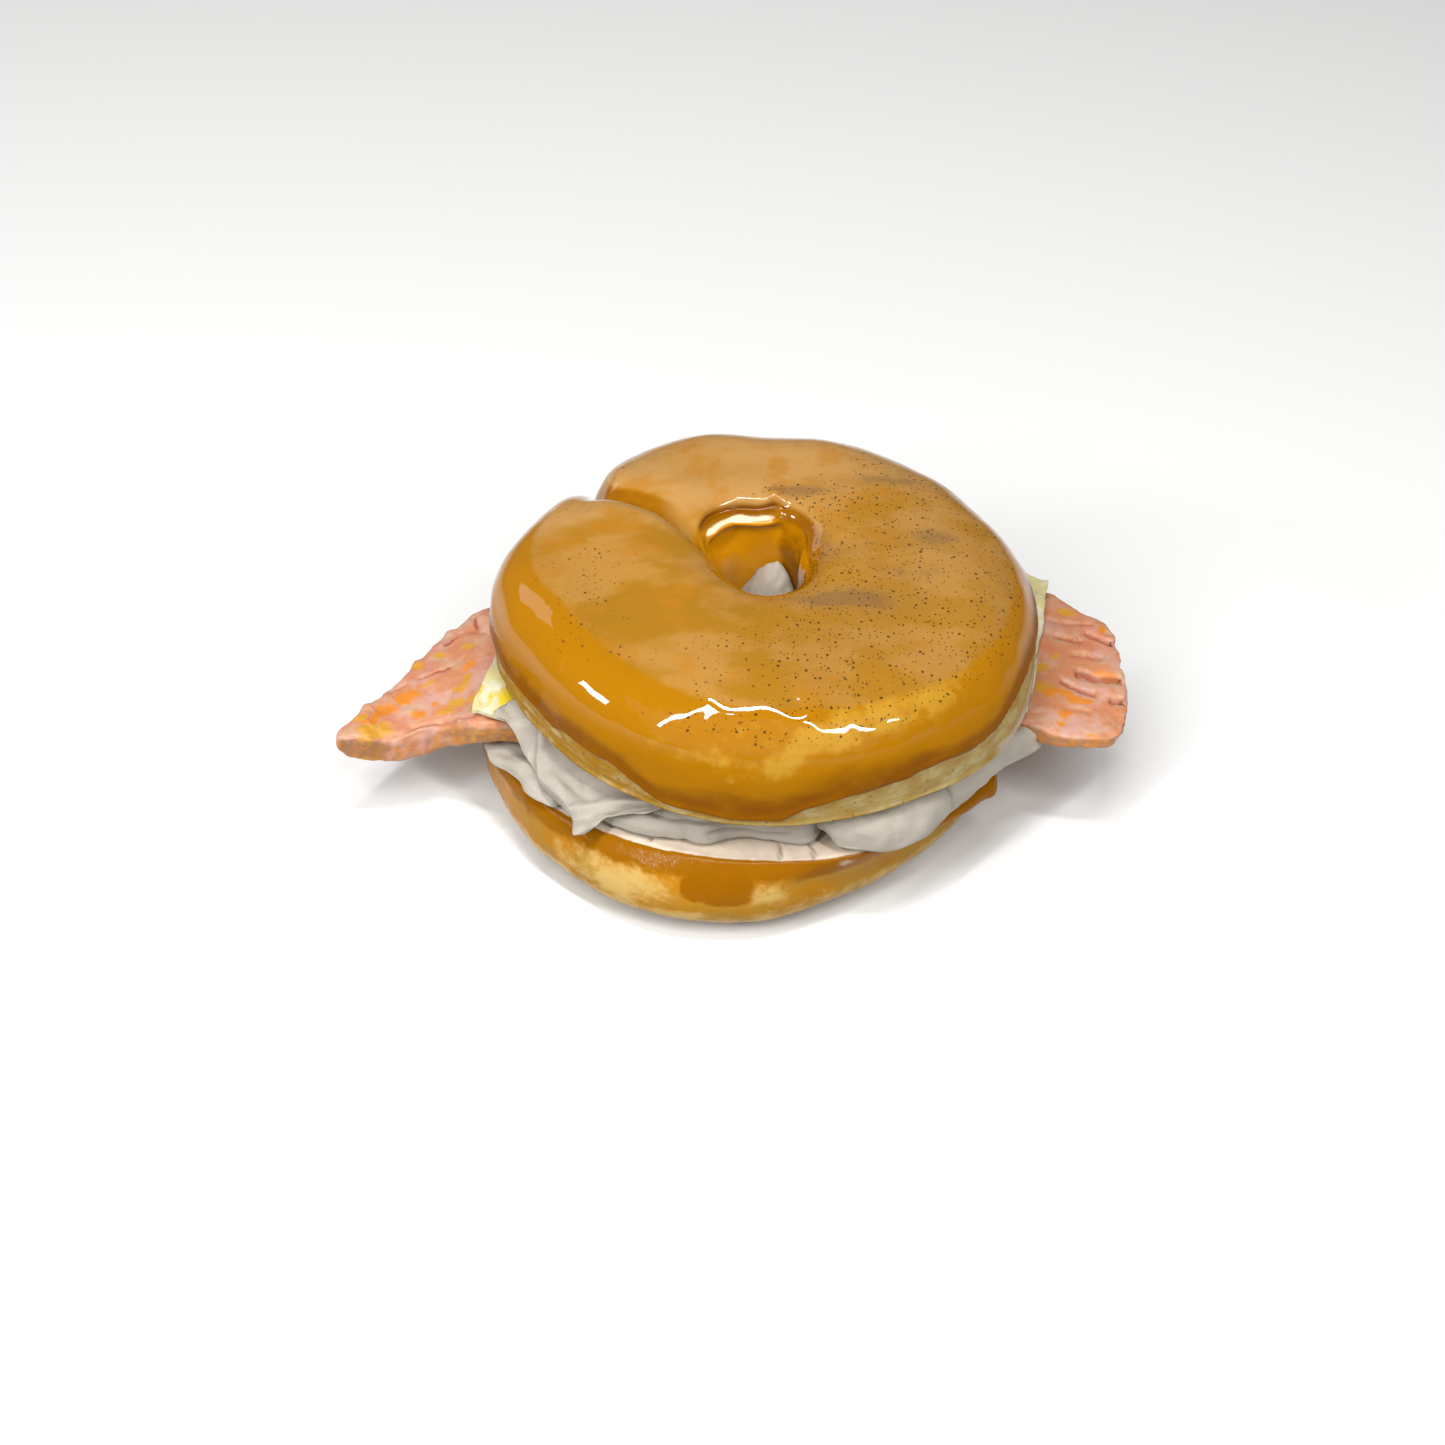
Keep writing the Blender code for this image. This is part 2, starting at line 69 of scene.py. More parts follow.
# The pile, from the bottom up.
GAP = 0.35
LOWER_HEIGHT = 20.0
SPREAD_FLOOR = LOWER_HEIGHT + GAP
SPREAD_TOP = SPREAD_FLOOR + 2.6
FISH_THICKNESS = 7.2
FISH_TOP = SPREAD_TOP + GAP + FISH_THICKNESS
SLICE_THICKNESS = 1.2
SLICE_FLOOR = FISH_TOP + GAP
SLICE_TOP = SLICE_FLOOR + SLICE_THICKNESS
UPPER_CUT_MID = 35.0
UPPER_CUT_SLOPE = 0.055
UPPER_HEIGHT = 24.5
UPPER_HEIGHT_SLOPE = -0.045
HALF_WIDTH = 25.0

# Upper half: radii of its outline and of its hole every 30 degrees, from +X towards +Y.
# Its bulge is lowest at one angle, and the hole's lip is crisper round another.
UPPER_CENTRE = (2, 3)
UPPER_OUTLINE = (58.2, 52.6, 51.3, 48.5, 53.7, 54.6, 60.3, 57, 55.6, 55.2, 56.6, 59.6)
UPPER_CURL = 0.4
UPPER_BULGE = 8.0
UPPER_BULGE_DROP = 5.5
LOW_BULGE_ANGLE = 350.0
LOW_BULGE_WIDTH = 50.0
UPPER_POWER_OUT = 2.8
UPPER_POWER_IN = (5.5, 4.6)
CRISP_ANGLE = 250.0
CRISP_SPAN = (85, 45)
UPPER_HOLE_CENTRE = (-0.5, 8.5)
UPPER_HOLE_OUTLINE = (9, 10.5, 11, 10, 11, 11.5, 10, 9.7, 11, 13.3, 13.8, 11)
# Low in the hole its wall swells inwards: by how much, at which angle and how widely.
HOLE_SWELL = (3.2, 150, 42)
SWELL_FADE = (20, 9)

# Seam: its angle at each reach, and how it falls away on both sides of its crisp edge.  It
# is measured along a circle that tapers towards the hole, where it also closes up.
SEAM_LINE = (
    (-1, 226), (-0.94, 204), (-0.87, 181), (-0.73, 165), (-0.52, 155), (-0.3, 151), (0, 150),
    (0.4, 150.5), (0.7, 147), (1, 143.5))
SEAM_ANGLE = 150.0
SEAM_FADE = 95.0
SEAM_DROP = 4.8
SEAM_NOTCH = 4.6
SEAM_STEEP = 4.5
SEAM_GENTLE = 9.0
NOTCH_GENTLE = 20.0
SEAM_RADIUS = 45.0
SEAM_TAPER = 0.38
SEAM_OPENING = 0.6
SEAM_CROWDING = 0.6
SEAM_CROWDED = 40.0

# Long waves that the maker's hands pressed into the crown.
PRESS_HEIGHT = 0.6
PRESS_LENGTH = 34.0
PRESS_SEED = 3

# Glaze on the upper half: (angle, height above the cut) where it ends in a thick edge.
GLAZE_LINE = (
    (-180, 7.5), (-163, 5.5), (-149, 6.9), (-143, 6.3), (-139, 7.5), (-128, 7.2), (-121, 4.9),
    (-114, 2), (-110, 1.7), (-97, 1.3), (-89, 1.3), (-82, 4.7), (-72, 6.7), (-66, 6.9), (-59, 7.8),
    (-52, 8.1), (-43, 7.1), (-38, 7.5), (-33, 10), (-20, 12), (0, 12), (40, 9), (90, 6), (130, 7),
    (160, 8.5), (180, 7.5))
# Depth below the crown's top where its cloudy tan gives way to clear amber, by bearing.
CROWN_EDGE = (
    (-180, 1.5), (-155, 0.9), (-125, 1.2), (-95, 1.8), (-70, 2.2), (-40, 3.2), (0, 4), (90, 4.2),
    (150, 3), (180, 1.5))
GLAZE_DEPTH = 0.6
GLAZE_BEAD = 0.35
GLAZE_WAVER = 0.35
RIDGE_HEIGHT = 0.14
BARE_ROUGHNESS = 0.22

# How far the wall's foot hangs below the plane of the cut, by bearing, and from what height.
RIM_DROP = (
    (-180, 0), (-165, 1.2), (-135, 0), (-95, 0.8), (-65, 0), (-35, 1.2), (-12, 0.8), (20, 0),
    (180, 0))
RIM_DROP_FROM = 9.0

# Lower half: outline at its bulge and at the rim of its cut face, every 30 degrees.
LOWER_CENTRE = (-3, 3)
LOWER_SHOWN_OUTLINE = (60, 60, 58.5, 57.5, 58.5, 60, 60, 59, 59.8, 58.6, 54.6, 55.6)
LOWER_RIM = (60.5, 58.5, 56.5, 55, 56, 58.5, 60.5, 58, 54.7, 53.9, 57.8, 60.5)
LOWER_BULGE = 10.0
LOWER_ARCH = 22.0
LOWER_POWER = 2.2
LOWER_HOLE_CENTRE = (-1, 5)
LOWER_HOLE_RADIUS = 9.5

# Section of a spread of cream, from its rim to its middle: shares of reach and thickness.
SPREAD_REACH = (1, 0.985, 0.95, 0.88, 0.75, 0.5, 0.22, 0.1, 0)
SPREAD_LIFT = (0, 0.45, 0.7, 0.88, 0.97, 1, 1, 1, 1)

# Lower cream: (angle, radius) round its outline, and the climbs of its top.
LOWER_CREAM_CENTRE = (-3, 3)
LOWER_CREAM_EDGE = (
    (0, 44), (30, 46), (60, 49), (90, 49), (120, 50), (150, 53), (180, 57), (196, 60.6),
    (203, 60.8), (209, 59), (213, 58.2), (217, 58.6), (222, 57.2), (225, 55.2), (228, 53.8),
    (236, 52.2), (245, 52), (255, 50.6), (258, 51.2), (268, 48.4), (274, 49.6), (284, 50.8),
    (288, 49), (291, 44), (296, 38), (302, 35.5), (330, 36), (345, 40), (360, 44))
LOWER_CREAM_WAIST = 1.2
TONGUE_RISE = 2.4
SLAB_RISE = 4.4
SLAB_FROM_Y = (-21, -26)
SLAB_FROM_X = (-31, -21)
BACK_RISE = 6.0
BACK_FROM_Y = (30, 37)

# Right lobe: a roll of cream bent round the rim between two angles.
LOBE_ANGLES = (281.2, 341)
LOBE_OUTER = (
    (0, 57.2), (0.25, 59), (0.42, 58.4), (0.58, 56.8), (0.75, 57.4), (0.85, 59.4), (0.93, 63),
    (1, 66.5))
LOBE_INNER = ((0, 40), (0.5, 39), (0.8, 45), (1, 55))
LOBE_SLANT = 5.5
LOBE_WAIST = 2.5
LOBE_BLUNT = 0.36
LOBE_SQUARE_TOP = 0.8
LOBE_SQUARE_FOOT = 0.25

# Fish: plan edges and drop of its floor, as (X, value) stations from tip to torn end.
FISH_ENDS = (-92, 81)
FISH_FRONT = (
    (-92, -18.5), (-88, -18.5), (-78, -17.6), (-70, -15.2), (-60, -19.8), (-52, -20.5), (-30, -18),
    (45, -14), (57, -19), (66, -22.6), (74, -23.2), (77.5, -21.8), (79.6, -18), (81, -9))
FISH_BACK = (
    (-92, -16.5), (-89.7, -13), (-86.5, -7.7), (-82.3, -2), (-79.7, 3.2), (-76.6, 9.6),
    (-73.5, 15), (-70.2, 18.1), (-66.2, 20.7), (-61.7, 21.5), (-35, 24), (45, 26), (66, 26.3),
    (75, 19.2), (79, 16), (81, 12))
FISH_SAG = (
    (-92, -5.8), (-88, -5.4), (-80, -6.3), (-73, -5.5), (-69, -4.6), (-65, -2.6), (-60, -0.5),
    (-54, 0), (55, 0), (70, -0.8), (81, -1.2))
FISH_SWELL = (
    (-92, -3.2), (-89, -0.5), (-84, 1.3), (-75, 2.4), (-70, 2.2), (-66, 1.6), (-63.5, 0.6),
    (-61, 0), (-57.5, 0), (60, 0), (68, -1.6), (81, -2.2))

# Yellow slice: corners in plan, from the front left one counter-clockwise.
SLICE_CORNERS = ((-62.2, -16.6), (57.8, -18), (66.8, 25.6), (-51, 25))

# Upper cream: (angle, radius) round its outline about the upper hole, and its droop over
# the left front with a pointed flap: each droop is (depth, radius it starts at, ends at).
UPPER_CREAM_EDGE = (
    (0, 47), (30, 44), (60, 41), (90, 38), (120, 40), (150, 44), (180, 46), (199, 49), (202.6, 52),
    (204.6, 60), (206.4, 63.4), (209, 62.4), (213, 61), (217, 60.3), (220, 60.6), (224, 61.6),
    (228, 61.4), (231.4, 62.6), (233.6, 66), (235, 67.6), (236.4, 64.6), (238.6, 60.6),
    (242.3, 59.2), (246.4, 58.4), (251.6, 55.6), (258, 52), (270, 50), (300, 48), (330, 47),
    (360, 47))
FLAP_ANGLE = 235.0
DROOP_ANGLE = 222.0
DROOP_WIDTH = 27.0
DROOP_FROM_Y = (-21.5, -27)
TOP_DROOPS = ((6, 51, 60), (1.6, 60, 64))
FLOOR_DROOP = (8.2, 49, 56)
FLAP_DROOP = (2.2, 56, 63)
FLAP_DROOP_WIDTH = 8.0
THINNEST_CREAM = 0.8
# Heap of cream that shows in the hole: its middle (x, y), height and reach.
HOLE_CREAM = (4.6, 17.5, 15, 9.2)


# ---------------------------------------------------------------------------
# Settings that a user would change
# ---------------------------------------------------------------------------

def colour_setting(name, description, default):
    """A colour picker for a glaze or a clay."""
    return bpy.props.FloatVectorProperty(
        name=name, description=description, subtype="COLOR", size=3, min=0.0, max=1.0,
        default=default)


class GlazeSettings(bpy.types.PropertyGroup):
    """Glaze of the two bagel halves."""
    amber: colour_setting("Amber", "Glaze on the walls", (0.274, 0.109, 0.0002))
    # Honey: lighter clouds of glaze, and also painted highlight in the band below the crown's front
    # shoulder.
    honey: colour_setting("Honey", "Lighter clouds in the glaze", (0.366, 0.2, 0.0179))
    pooled: colour_setting("Pooled", "Glaze where it lies thick", (0.158, 0.0508, 0.000273))
    olive: colour_setting("Olive", "Darker stretches of the crown", (0.25, 0.112, 0.00619))
    toasted: colour_setting("Toasted", "Lighter stretches of the crown", (0.307, 0.15, 0.0284))
    # Milky: painted sheen, a reflection of bright surroundings put into the crown's colour.
    painted_sheen: colour_setting("Milky", "Cloudy glaze at the back", (0.339, 0.184, 0.0574))
    ochre: colour_setting("Ochre", "Clay below the glaze's edge, left", (0.274, 0.143, 0.0155))
    khaki: colour_setting("Khaki", "Clay below the glaze's edge, right", (0.274, 0.188, 0.0559))
    gloss: bpy.props.FloatProperty(
        name="Roughness", description="Roughness of the glaze", default=0.055, min=0.0, max=1.0)
    relief: bpy.props.FloatProperty(
        name="Relief", description="Height of the hand-made unevenness", unit="LENGTH",
        default=0.00022, min=0.0, max=0.001)


class ClaySettings(bpy.types.PropertyGroup):
    """Clays of the filling."""
    white: colour_setting("White", "Cream modelled in matt white clay", (0.303, 0.272, 0.228))
    flesh: colour_setting("Flesh", "Main colour of the fish", (0.386, 0.153, 0.07))
    pale: colour_setting("Pale", "Light stretches of the fish", (0.396, 0.224, 0.143))
    orange: colour_setting("Orange", "Painted spots on the fish", (0.461, 0.15, 0.0112))
    yellow: colour_setting("Yellow", "Thin slice", (0.412, 0.359, 0.169))


class StageSettings(bpy.types.PropertyGroup):
    """Floor, lights and camera."""
    floor: colour_setting("Floor", "Colour of the floor", (0.58, 0.58, 0.574))
    camera_height: bpy.props.FloatProperty(
        name="Camera elevation", description="Angle of the camera above the horizon",
        subtype="ANGLE", default=math.radians(43.3))
    camera_distance: bpy.props.FloatProperty(
        name="Camera distance", description="From the camera to the point it looks at",
        unit="LENGTH", default=0.5, min=0.1)
    lens: bpy.props.FloatProperty(
        name="Lens", description="Focal length in millimetres", default=57.05, min=10.0)


# ---------------------------------------------------------------------------
# Curves, noise and surfaces
# ---------------------------------------------------------------------------

def smooth(value, start, end):
    """Smooth step: 0 at start, 1 at end (which may be the lower one), level at both."""
    t = np.clip((value - start) / (end - start), 0, 1)
    return t * t * (3 - 2 * t)


def hill(value, middle, width):
    """Bell curve of height 1."""
    return np.exp(-((value - middle) / width) ** 2)


def turned(angle, start):
    """Angle from start, in degrees, between -180 and 180."""
    return (angle - start + 180) % 360 - 180


def round_curve(values, angle):
    """Closed Catmull-Rom curve through values spaced evenly round a full turn."""
    knots = np.asarray(values, float)
    count = len(knots)
    place = np.mod(angle / 360, 1) * count
    low = np.floor(place).astype(int)
    t = place - low
    a, b, c, d = (knots[(low + step) % count] for step in (-1, 0, 1, 2))
    return b + 0.5 * t * (c - a + t * (2 * a - 5 * b + 4 * c - d + t * (3 * (b - c) + d - a)))


def open_curve(stations, value):
    """Smooth curve through (place, height) stations that never swings past them."""
    place, height = np.asarray(stations, float).T
    chord = np.diff(height) / np.diff(place)
    product = chord[:-1] * chord[1:]
    total = np.where(product > 0, chord[:-1] + chord[1:], 1)
    slope = np.concatenate((chord[:1], np.maximum(product, 0) * 2 / total, chord[-1:]))
    low = np.clip(np.searchsorted(place, value) - 1, 0, len(place) - 2)
    span = place[low + 1] - place[low]
    t = np.clip((value - place[low]) / span, 0, 1)
    rise = height[low + 1] - height[low]
    ease = t * t * (3 - 2 * t)
    leave = t * (1 - t) ** 2 * span * slope[low]
    arrive = t * t * (t - 1) * span * slope[low + 1]
    return height[low] + rise * ease + leave + arrive


def undulation(x, y, seed, length):
    """Hand-pressed unevenness between about -1 and 1: a few sine waves of random heading."""
    draw = np.random.default_rng(seed)
    total = np.zeros_like(x)
    for _ in range(5):
        heading = draw.uniform(0, 2 * math.pi)
        wave = 2 * math.pi / (length * draw.uniform(0.7, 1.6))
        phase = draw.uniform(0, 2 * math.pi)
        total += np.sin(wave * (x * math.cos(heading) + y * math.sin(heading)) + phase)
    return total / 3


LATTICE = 32


def lattice_noise(x, y, z, length, seed):
    """Value noise between -1 and 1: random values on a cubic lattice, eased between."""
    table = np.random.default_rng(seed).uniform(-1, 1, (LATTICE,) * 3)
    places = [np.asarray(axis) / length + 100 for axis in (x, y, z)]
    low = [np.floor(place).astype(int) for place in places]
    share = [place - start for place, start in zip(places, low)]
    share = [t * t * t * (t * (t * 6 - 15) + 10) for t in share]
    total = 0
    for corner in np.ndindex(2, 2, 2):
        weight = 1
        for t, side in zip(share, corner):
            weight = weight * (t if side else 1 - t)
        index = tuple((start + side) % LATTICE for start, side in zip(low, corner))
        total = total + weight * table[index]
    return total


def fractal(x, y, z, length, seed, octaves=3):
    """Lattice noise with each octave half as long and half as high as the one before."""
    total = 0
    for octave in range(octaves):
        total = total + lattice_noise(x, y, z, length / 2 ** octave, seed + octave) / 2 ** octave
    return total


def normals_of(x, y, z, wrapped):
    """Unit normals of a grid: cross product of its two tangents, away from each row's middle."""
    def along(values, axis):
        if axis == 1 or wrapped:
            return np.roll(values, -1, axis) - np.roll(values, 1, axis)
        return np.gradient(values, axis=axis)
    u = [along(values, 0) for values in (x, y, z)]
    v = [along(values, 1) for values in (x, y, z)]
    cross = np.stack((u[1] * v[2] - u[2] * v[1], u[2] * v[0] - u[0] * v[2],
                      u[0] * v[1] - u[1] * v[0]))
    cross /= np.maximum(np.linalg.norm(cross, axis=0), 1e-9)
    point = np.stack((x, y, z))
    outward = np.sum(cross * (point - point.mean(axis=2, keepdims=True)))
    return cross if outward > 0 else -cross


def pushed(x, y, z, amount, wrapped=True):
    """The grid moved along its normals by an amount at each point."""
    normal = normals_of(x, y, z, wrapped)
    return x + normal[0] * amount, y + normal[1] * amount, z + normal[2] * amount


def path_side(x, y, points):
    """Plan distance from a line through points: above 0 on the left of its way, else below.

    Each stretch gives a distance and, by its cross product, a side; the nearest one counts.
    """
    distances = []
    sides = []
    for start, end in zip(points[:-1], points[1:]):
        along = np.subtract(end, start)
        dx = x - start[0]
        dy = y - start[1]
        t = np.clip((dx * along[0] + dy * along[1]) / (along @ along), 0, 1)
        distances.append(np.hypot(dx - t * along[0], dy - t * along[1]))
        sides.append(np.where(along[0] * dy - along[1] * dx > 0, 1, -1))
    nearest = np.argmin(distances, axis=0)[None]
    signed = np.array(distances) * np.array(sides)
    return np.take_along_axis(signed, nearest, axis=0)[0]


def groove(x, y, points, width):
    """Bell-shaped field along a line: 1 on it, fading over the width."""
    return hill(path_side(x, y, points), 0, width)


def lap(x, y, points, reach):
    """Step across a line: 1 just left of it, easing back to 0 over the reach."""
    side = path_side(x, y, points)
    return np.where(side > 0, 1 - smooth(side, 0, reach), 0) * smooth(side, 0, 0.5)


def knobs(x, y, table):
    """Sum of round bell-shaped bumps, each (x, y, radius, height)."""
    return sum(height * hill(np.hypot(x - at_x, y - at_y), 0, radius)
               for at_x, at_y, radius, height in table)


def spots(x, y, table):
    """Sum of oval bell-shaped patches, each (x, y, width, depth, strength)."""
    return sum(strength * hill(x, at_x, width) * hill(y, at_y, deep)
               for at_x, at_y, width, deep, strength in table)


def place_in_frame(x, y, z):
    """The grid's points as rows in metres, in the frame."""
    return np.column_stack((x.ravel() + SHIFT[0], y.ravel() + SHIFT[1], z.ravel())) * MM


def grid_faces(rows, columns, wrapped):
    """Corner numbers of a grid's quads; columns always close, rows close if wrapped."""
    first = np.arange(rows if wrapped else rows - 1)[:, None]
    column = np.arange(columns)[None, :]
    beyond = (first + 1) % rows
    next_column = (column + 1) % columns
    corners = (first * columns + column, first * columns + next_column,
               beyond * columns + next_column, beyond * columns + column)
    return np.stack(corners, axis=-1).reshape(-1, 4)


def add_piece(name, x, y, z, fields, material, node, wrapped=True):
    """A closed mesh over the grid that stands for a node.

    A wrapped grid closes on itself both ways.  Any other one shrinks to a point at its first
    and last row, and each of those rows becomes one corner of a fan of triangles.
    """
    rows, columns = x.shape
    points = place_in_frame(x, y, z)
    quads = grid_faces(rows, columns, wrapped)
    fans = np.empty((0, 3), int)
    values = {key: np.broadcast_to(field, x.shape).ravel() for key, field in fields.items()}
    if not wrapped:
        quads = grid_faces(rows - 2, columns, False) + 1
        inner = slice(columns, -columns)
        points = np.vstack((points[:columns].mean(0), points[inner], points[-columns:].mean(0)))
        values = {key: np.concatenate((value[:1], value[inner], value[-1:]))
                  for key, value in values.items()}
        step = np.arange(columns)
        following = (step + 1) % columns
        last = (rows - 2) * columns + 1
        first_fan = np.column_stack((step * 0, following + 1, step + 1))
        last_fan = np.column_stack((step * 0 + last, last - columns + step,
                                    last - columns + following))
        fans = np.vstack((first_fan, last_fan))
    if enclosed_volume(points, quads, fans) < 0:
        quads = quads[:, ::-1]
        fans = fans[:, ::-1]
    mesh = bpy.data.meshes.new(name)
    mesh.from_pydata(points, [], quads.tolist() + fans.tolist())
    for key, value in values.items():
        layer = mesh.attributes.new(key, "FLOAT", "POINT")
        layer.data.foreach_set("value", value.astype(np.float32))
    mesh.shade_smooth()
    mesh.materials.append(material)
    obj = bpy.data.objects.new(name, mesh)
    bpy.context.scene.collection.objects.link(obj)
    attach(obj, "root")
    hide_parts(node)
    return obj


def enclosed_volume(points, quads, fans):
    """Signed volume inside a closed mesh: the sum over triangles of their triple products."""
    corners = np.vstack((quads[:, [0, 1, 2]], quads[:, [0, 2, 3]], fans))
    a, b, c = (points[corners[:, corner]] for corner in range(3))
    return np.einsum("ij,ij->", a, np.cross(b, c)) / 6


# ---------------------------------------------------------------------------
# Shader maths
# ---------------------------------------------------------------------------

class Term:
    """A number or colour in a material's nodes, so that shader maths reads as arithmetic."""

    def __init__(self, recipe, socket):
        self.recipe = recipe
        self.socket = socket

    def __add__(self, other):
        return self.recipe.math("ADD", self, other)

    def __sub__(self, other):
        return self.recipe.math("SUBTRACT", self, other)

    def __rsub__(self, other):
        return self.recipe.math("SUBTRACT", other, self)

    def __mul__(self, other):
        return self.recipe.math("MULTIPLY", self, other)

    __radd__ = __add__
    __rmul__ = __mul__


class Recipe:
    """A material built up node by node around one Principled shader."""

    def __init__(self, name, **constants):
        self.material = bpy.data.materials.new(name)
        self.material.use_nodes = True
        self.tree = self.material.node_tree
        self.shader = self.tree.nodes["Principled BSDF"]
        for socket, value in constants.items():
            self.shader.inputs[socket.replace("_", " ")].default_value = value
        self.place = self.node("ShaderNodeTexCoord", output="Object")

    def node(self, kind, settings=None, sockets=None, output=0):
        """Any node: its settings first, then the values or links of its sockets."""
        made = self.tree.nodes.new(kind)
        for key, value in (settings or {}).items():
            setattr(made, key, value)
        for key, value in (sockets or {}).items():
            if isinstance(value, Term):
                self.tree.links.new(value.socket, made.inputs[key])
            elif made.inputs[key].type == "RGBA":
                made.inputs[key].default_value = (*value[:3], 1.0)
            else:
                made.inputs[key].default_value = value
        return Term(self, made.outputs[output])

    def math(self, operation, first, second):
        """One Math node on two values."""
        return self.node("ShaderNodeMath", {"operation": operation}, {0: first, 1: second})

    def largest(self, first, second):
        """The larger of two values."""
        return self.math("MAXIMUM", first, second)

    def field(self, name):
        """A value stored on the mesh's points."""
        return self.node("ShaderNodeAttribute", {"attribute_name": name}, output="Fac")

    def frayed(self, name, *noises):
        """A stored value with noises laid over it, each given with the height of its waves."""
        value = self.field(name)
        for noise, height in noises:
            value = value + (noise - 0.5) * height
        return value

    def step(self, value, low, high):
        """Smooth step of a value: 0 at low, 1 at high."""
        return self.node("ShaderNodeMapRange", {"interpolation_type": "SMOOTHSTEP"},
                         {0: value, 1: low, 2: high, 3: 0.0, 4: 1.0})

    def mix(self, share, first, second):
        """Colour between two colours."""
        return self.node("ShaderNodeMix", {"data_type": "RGBA"},
                         {0: share, 6: first, 7: second}, output=2)

    def cover(self, colour, over, value, low, high, most=1.0):
        """Colour with another over it: none where a value is low, the most where it is high."""
        share = self.step(value, low, high)
        return self.mix(share * most if most < 1.0 else share, colour, over)

    def noise(self, length, detail=2.0, roughness=0.5, stretch=None, seed=0.0):
        """Fractal noise whose waves are about that many millimetres long."""
        place = self.place
        if stretch or seed:
            place = self.node("ShaderNodeMapping", None,
                              {"Vector": place, "Location": (seed, seed, seed),
                               "Scale": stretch or (1.0, 1.0, 1.0)})
        return self.node("ShaderNodeTexNoise", None,
                         {"Vector": place, "Scale": 1.0 / (length * MM), "Detail": detail,
                          "Roughness": roughness})

    def specks(self, spacing, size, share, wobble):
        """Small marks: the cores of random cells, kept in a share of the cells."""
        cells = {"Vector": self.place, "Scale": 1.0 / (spacing * MM), "Randomness": 1.0}
        near = self.node("ShaderNodeTexVoronoi", None, cells, output="Distance")
        chance = self.node("ShaderNodeTexVoronoi", None, cells, output="Color")
        chance = self.node("ShaderNodeSeparateColor", None, {0: chance})
        near = near + (self.noise(size * 0.8) - 0.5) * wobble
        core = 1.0 - self.step(near, size / spacing * 0.5, size / spacing)
        return core * (1.0 - self.step(chance, share - 0.02, share + 0.02))

    def finish(self, colour, roughness, height, strength, coat=None):
        """Link what varies to the shader; the height of its bump is in millimetres."""
        bump = self.node("ShaderNodeBump", None,
                         {"Strength": strength, "Distance": MM, "Height": height})
        links = {"Base Color": colour, "Roughness": roughness, "Normal": bump}
        if coat:
            links["Coat Weight"] = coat
        for socket, value in links.items():
            self.tree.links.new(value.socket, self.shader.inputs[socket])
        return self.material


# ---------------------------------------------------------------------------
# Materials
# ---------------------------------------------------------------------------

# Glaze: specks, smudges and dust on the crown, and a painted highlight on the ridge at the back of
# the hole.
SPECK_COLOUR = (0.022, 0.01, 0.004)
SMUDGE_COLOUR = (0.14, 0.072, 0.027)
DUSTY_COLOUR = (0.232, 0.116, 0.0264)
WARM_COLOUR = (0.30, 0.118, 0.007)
HOLLOW_COLOUR = (0.495, 0.203, 0.0027)
PAINTED_HIGHLIGHT_COLOUR = (0.594, 0.504, 0.342)
RIM_COLOUR = (0.37, 0.295, 0.22)
CHALK_COLOUR = (0.377, 0.306, 0.152)
BASE_POOL = (0.2, 0.0707, 0.0005)
BASE_AMBER = (0.312, 0.126, 0.0027)
BASE_PALE = (0.416, 0.287, 0.0945)
BASE_SHEEN_LILAC = (0.44, 0.36, 0.30)
CUT_LIGHT = (0.533, 0.447, 0.353)
CUT_DARK = (0.473, 0.387, 0.301)
CUT_CRACK_SHADE = (0.13, 0.085, 0.055)

# Cream: grain, a yellowish stain beside the fish, and painted shade in creases, cracks and under a
# lapped edge.
GRAIN_COLOUR = (0.31, 0.26, 0.20)
STAIN_COLOUR = (0.42, 0.36, 0.215)
CREASE_SHADE_COLOUR = (0.12, 0.085, 0.06)

# Fish and slice; the fish's darker side face and cuts are partly painted shade.
PIT_COLOUR = (0.417, 0.298, 0.208)
ROSE_COLOUR = (0.405, 0.131, 0.0645)
LILAC_COLOUR = (0.397, 0.224, 0.184)
RED_COLOUR = (0.239, 0.035, 0.0166)
SIDE_SHADE_OCHRE = (0.198, 0.0855, 0.0162)
GASH_SHADE_COLOUR = (0.225, 0.0495, 0.0126)
GOLD_COLOUR = (0.417, 0.199, 0.00966)
SLICE_PALE = (0.49, 0.465, 0.34)
SLICE_BRIGHT = (0.46, 0.35, 0.012)


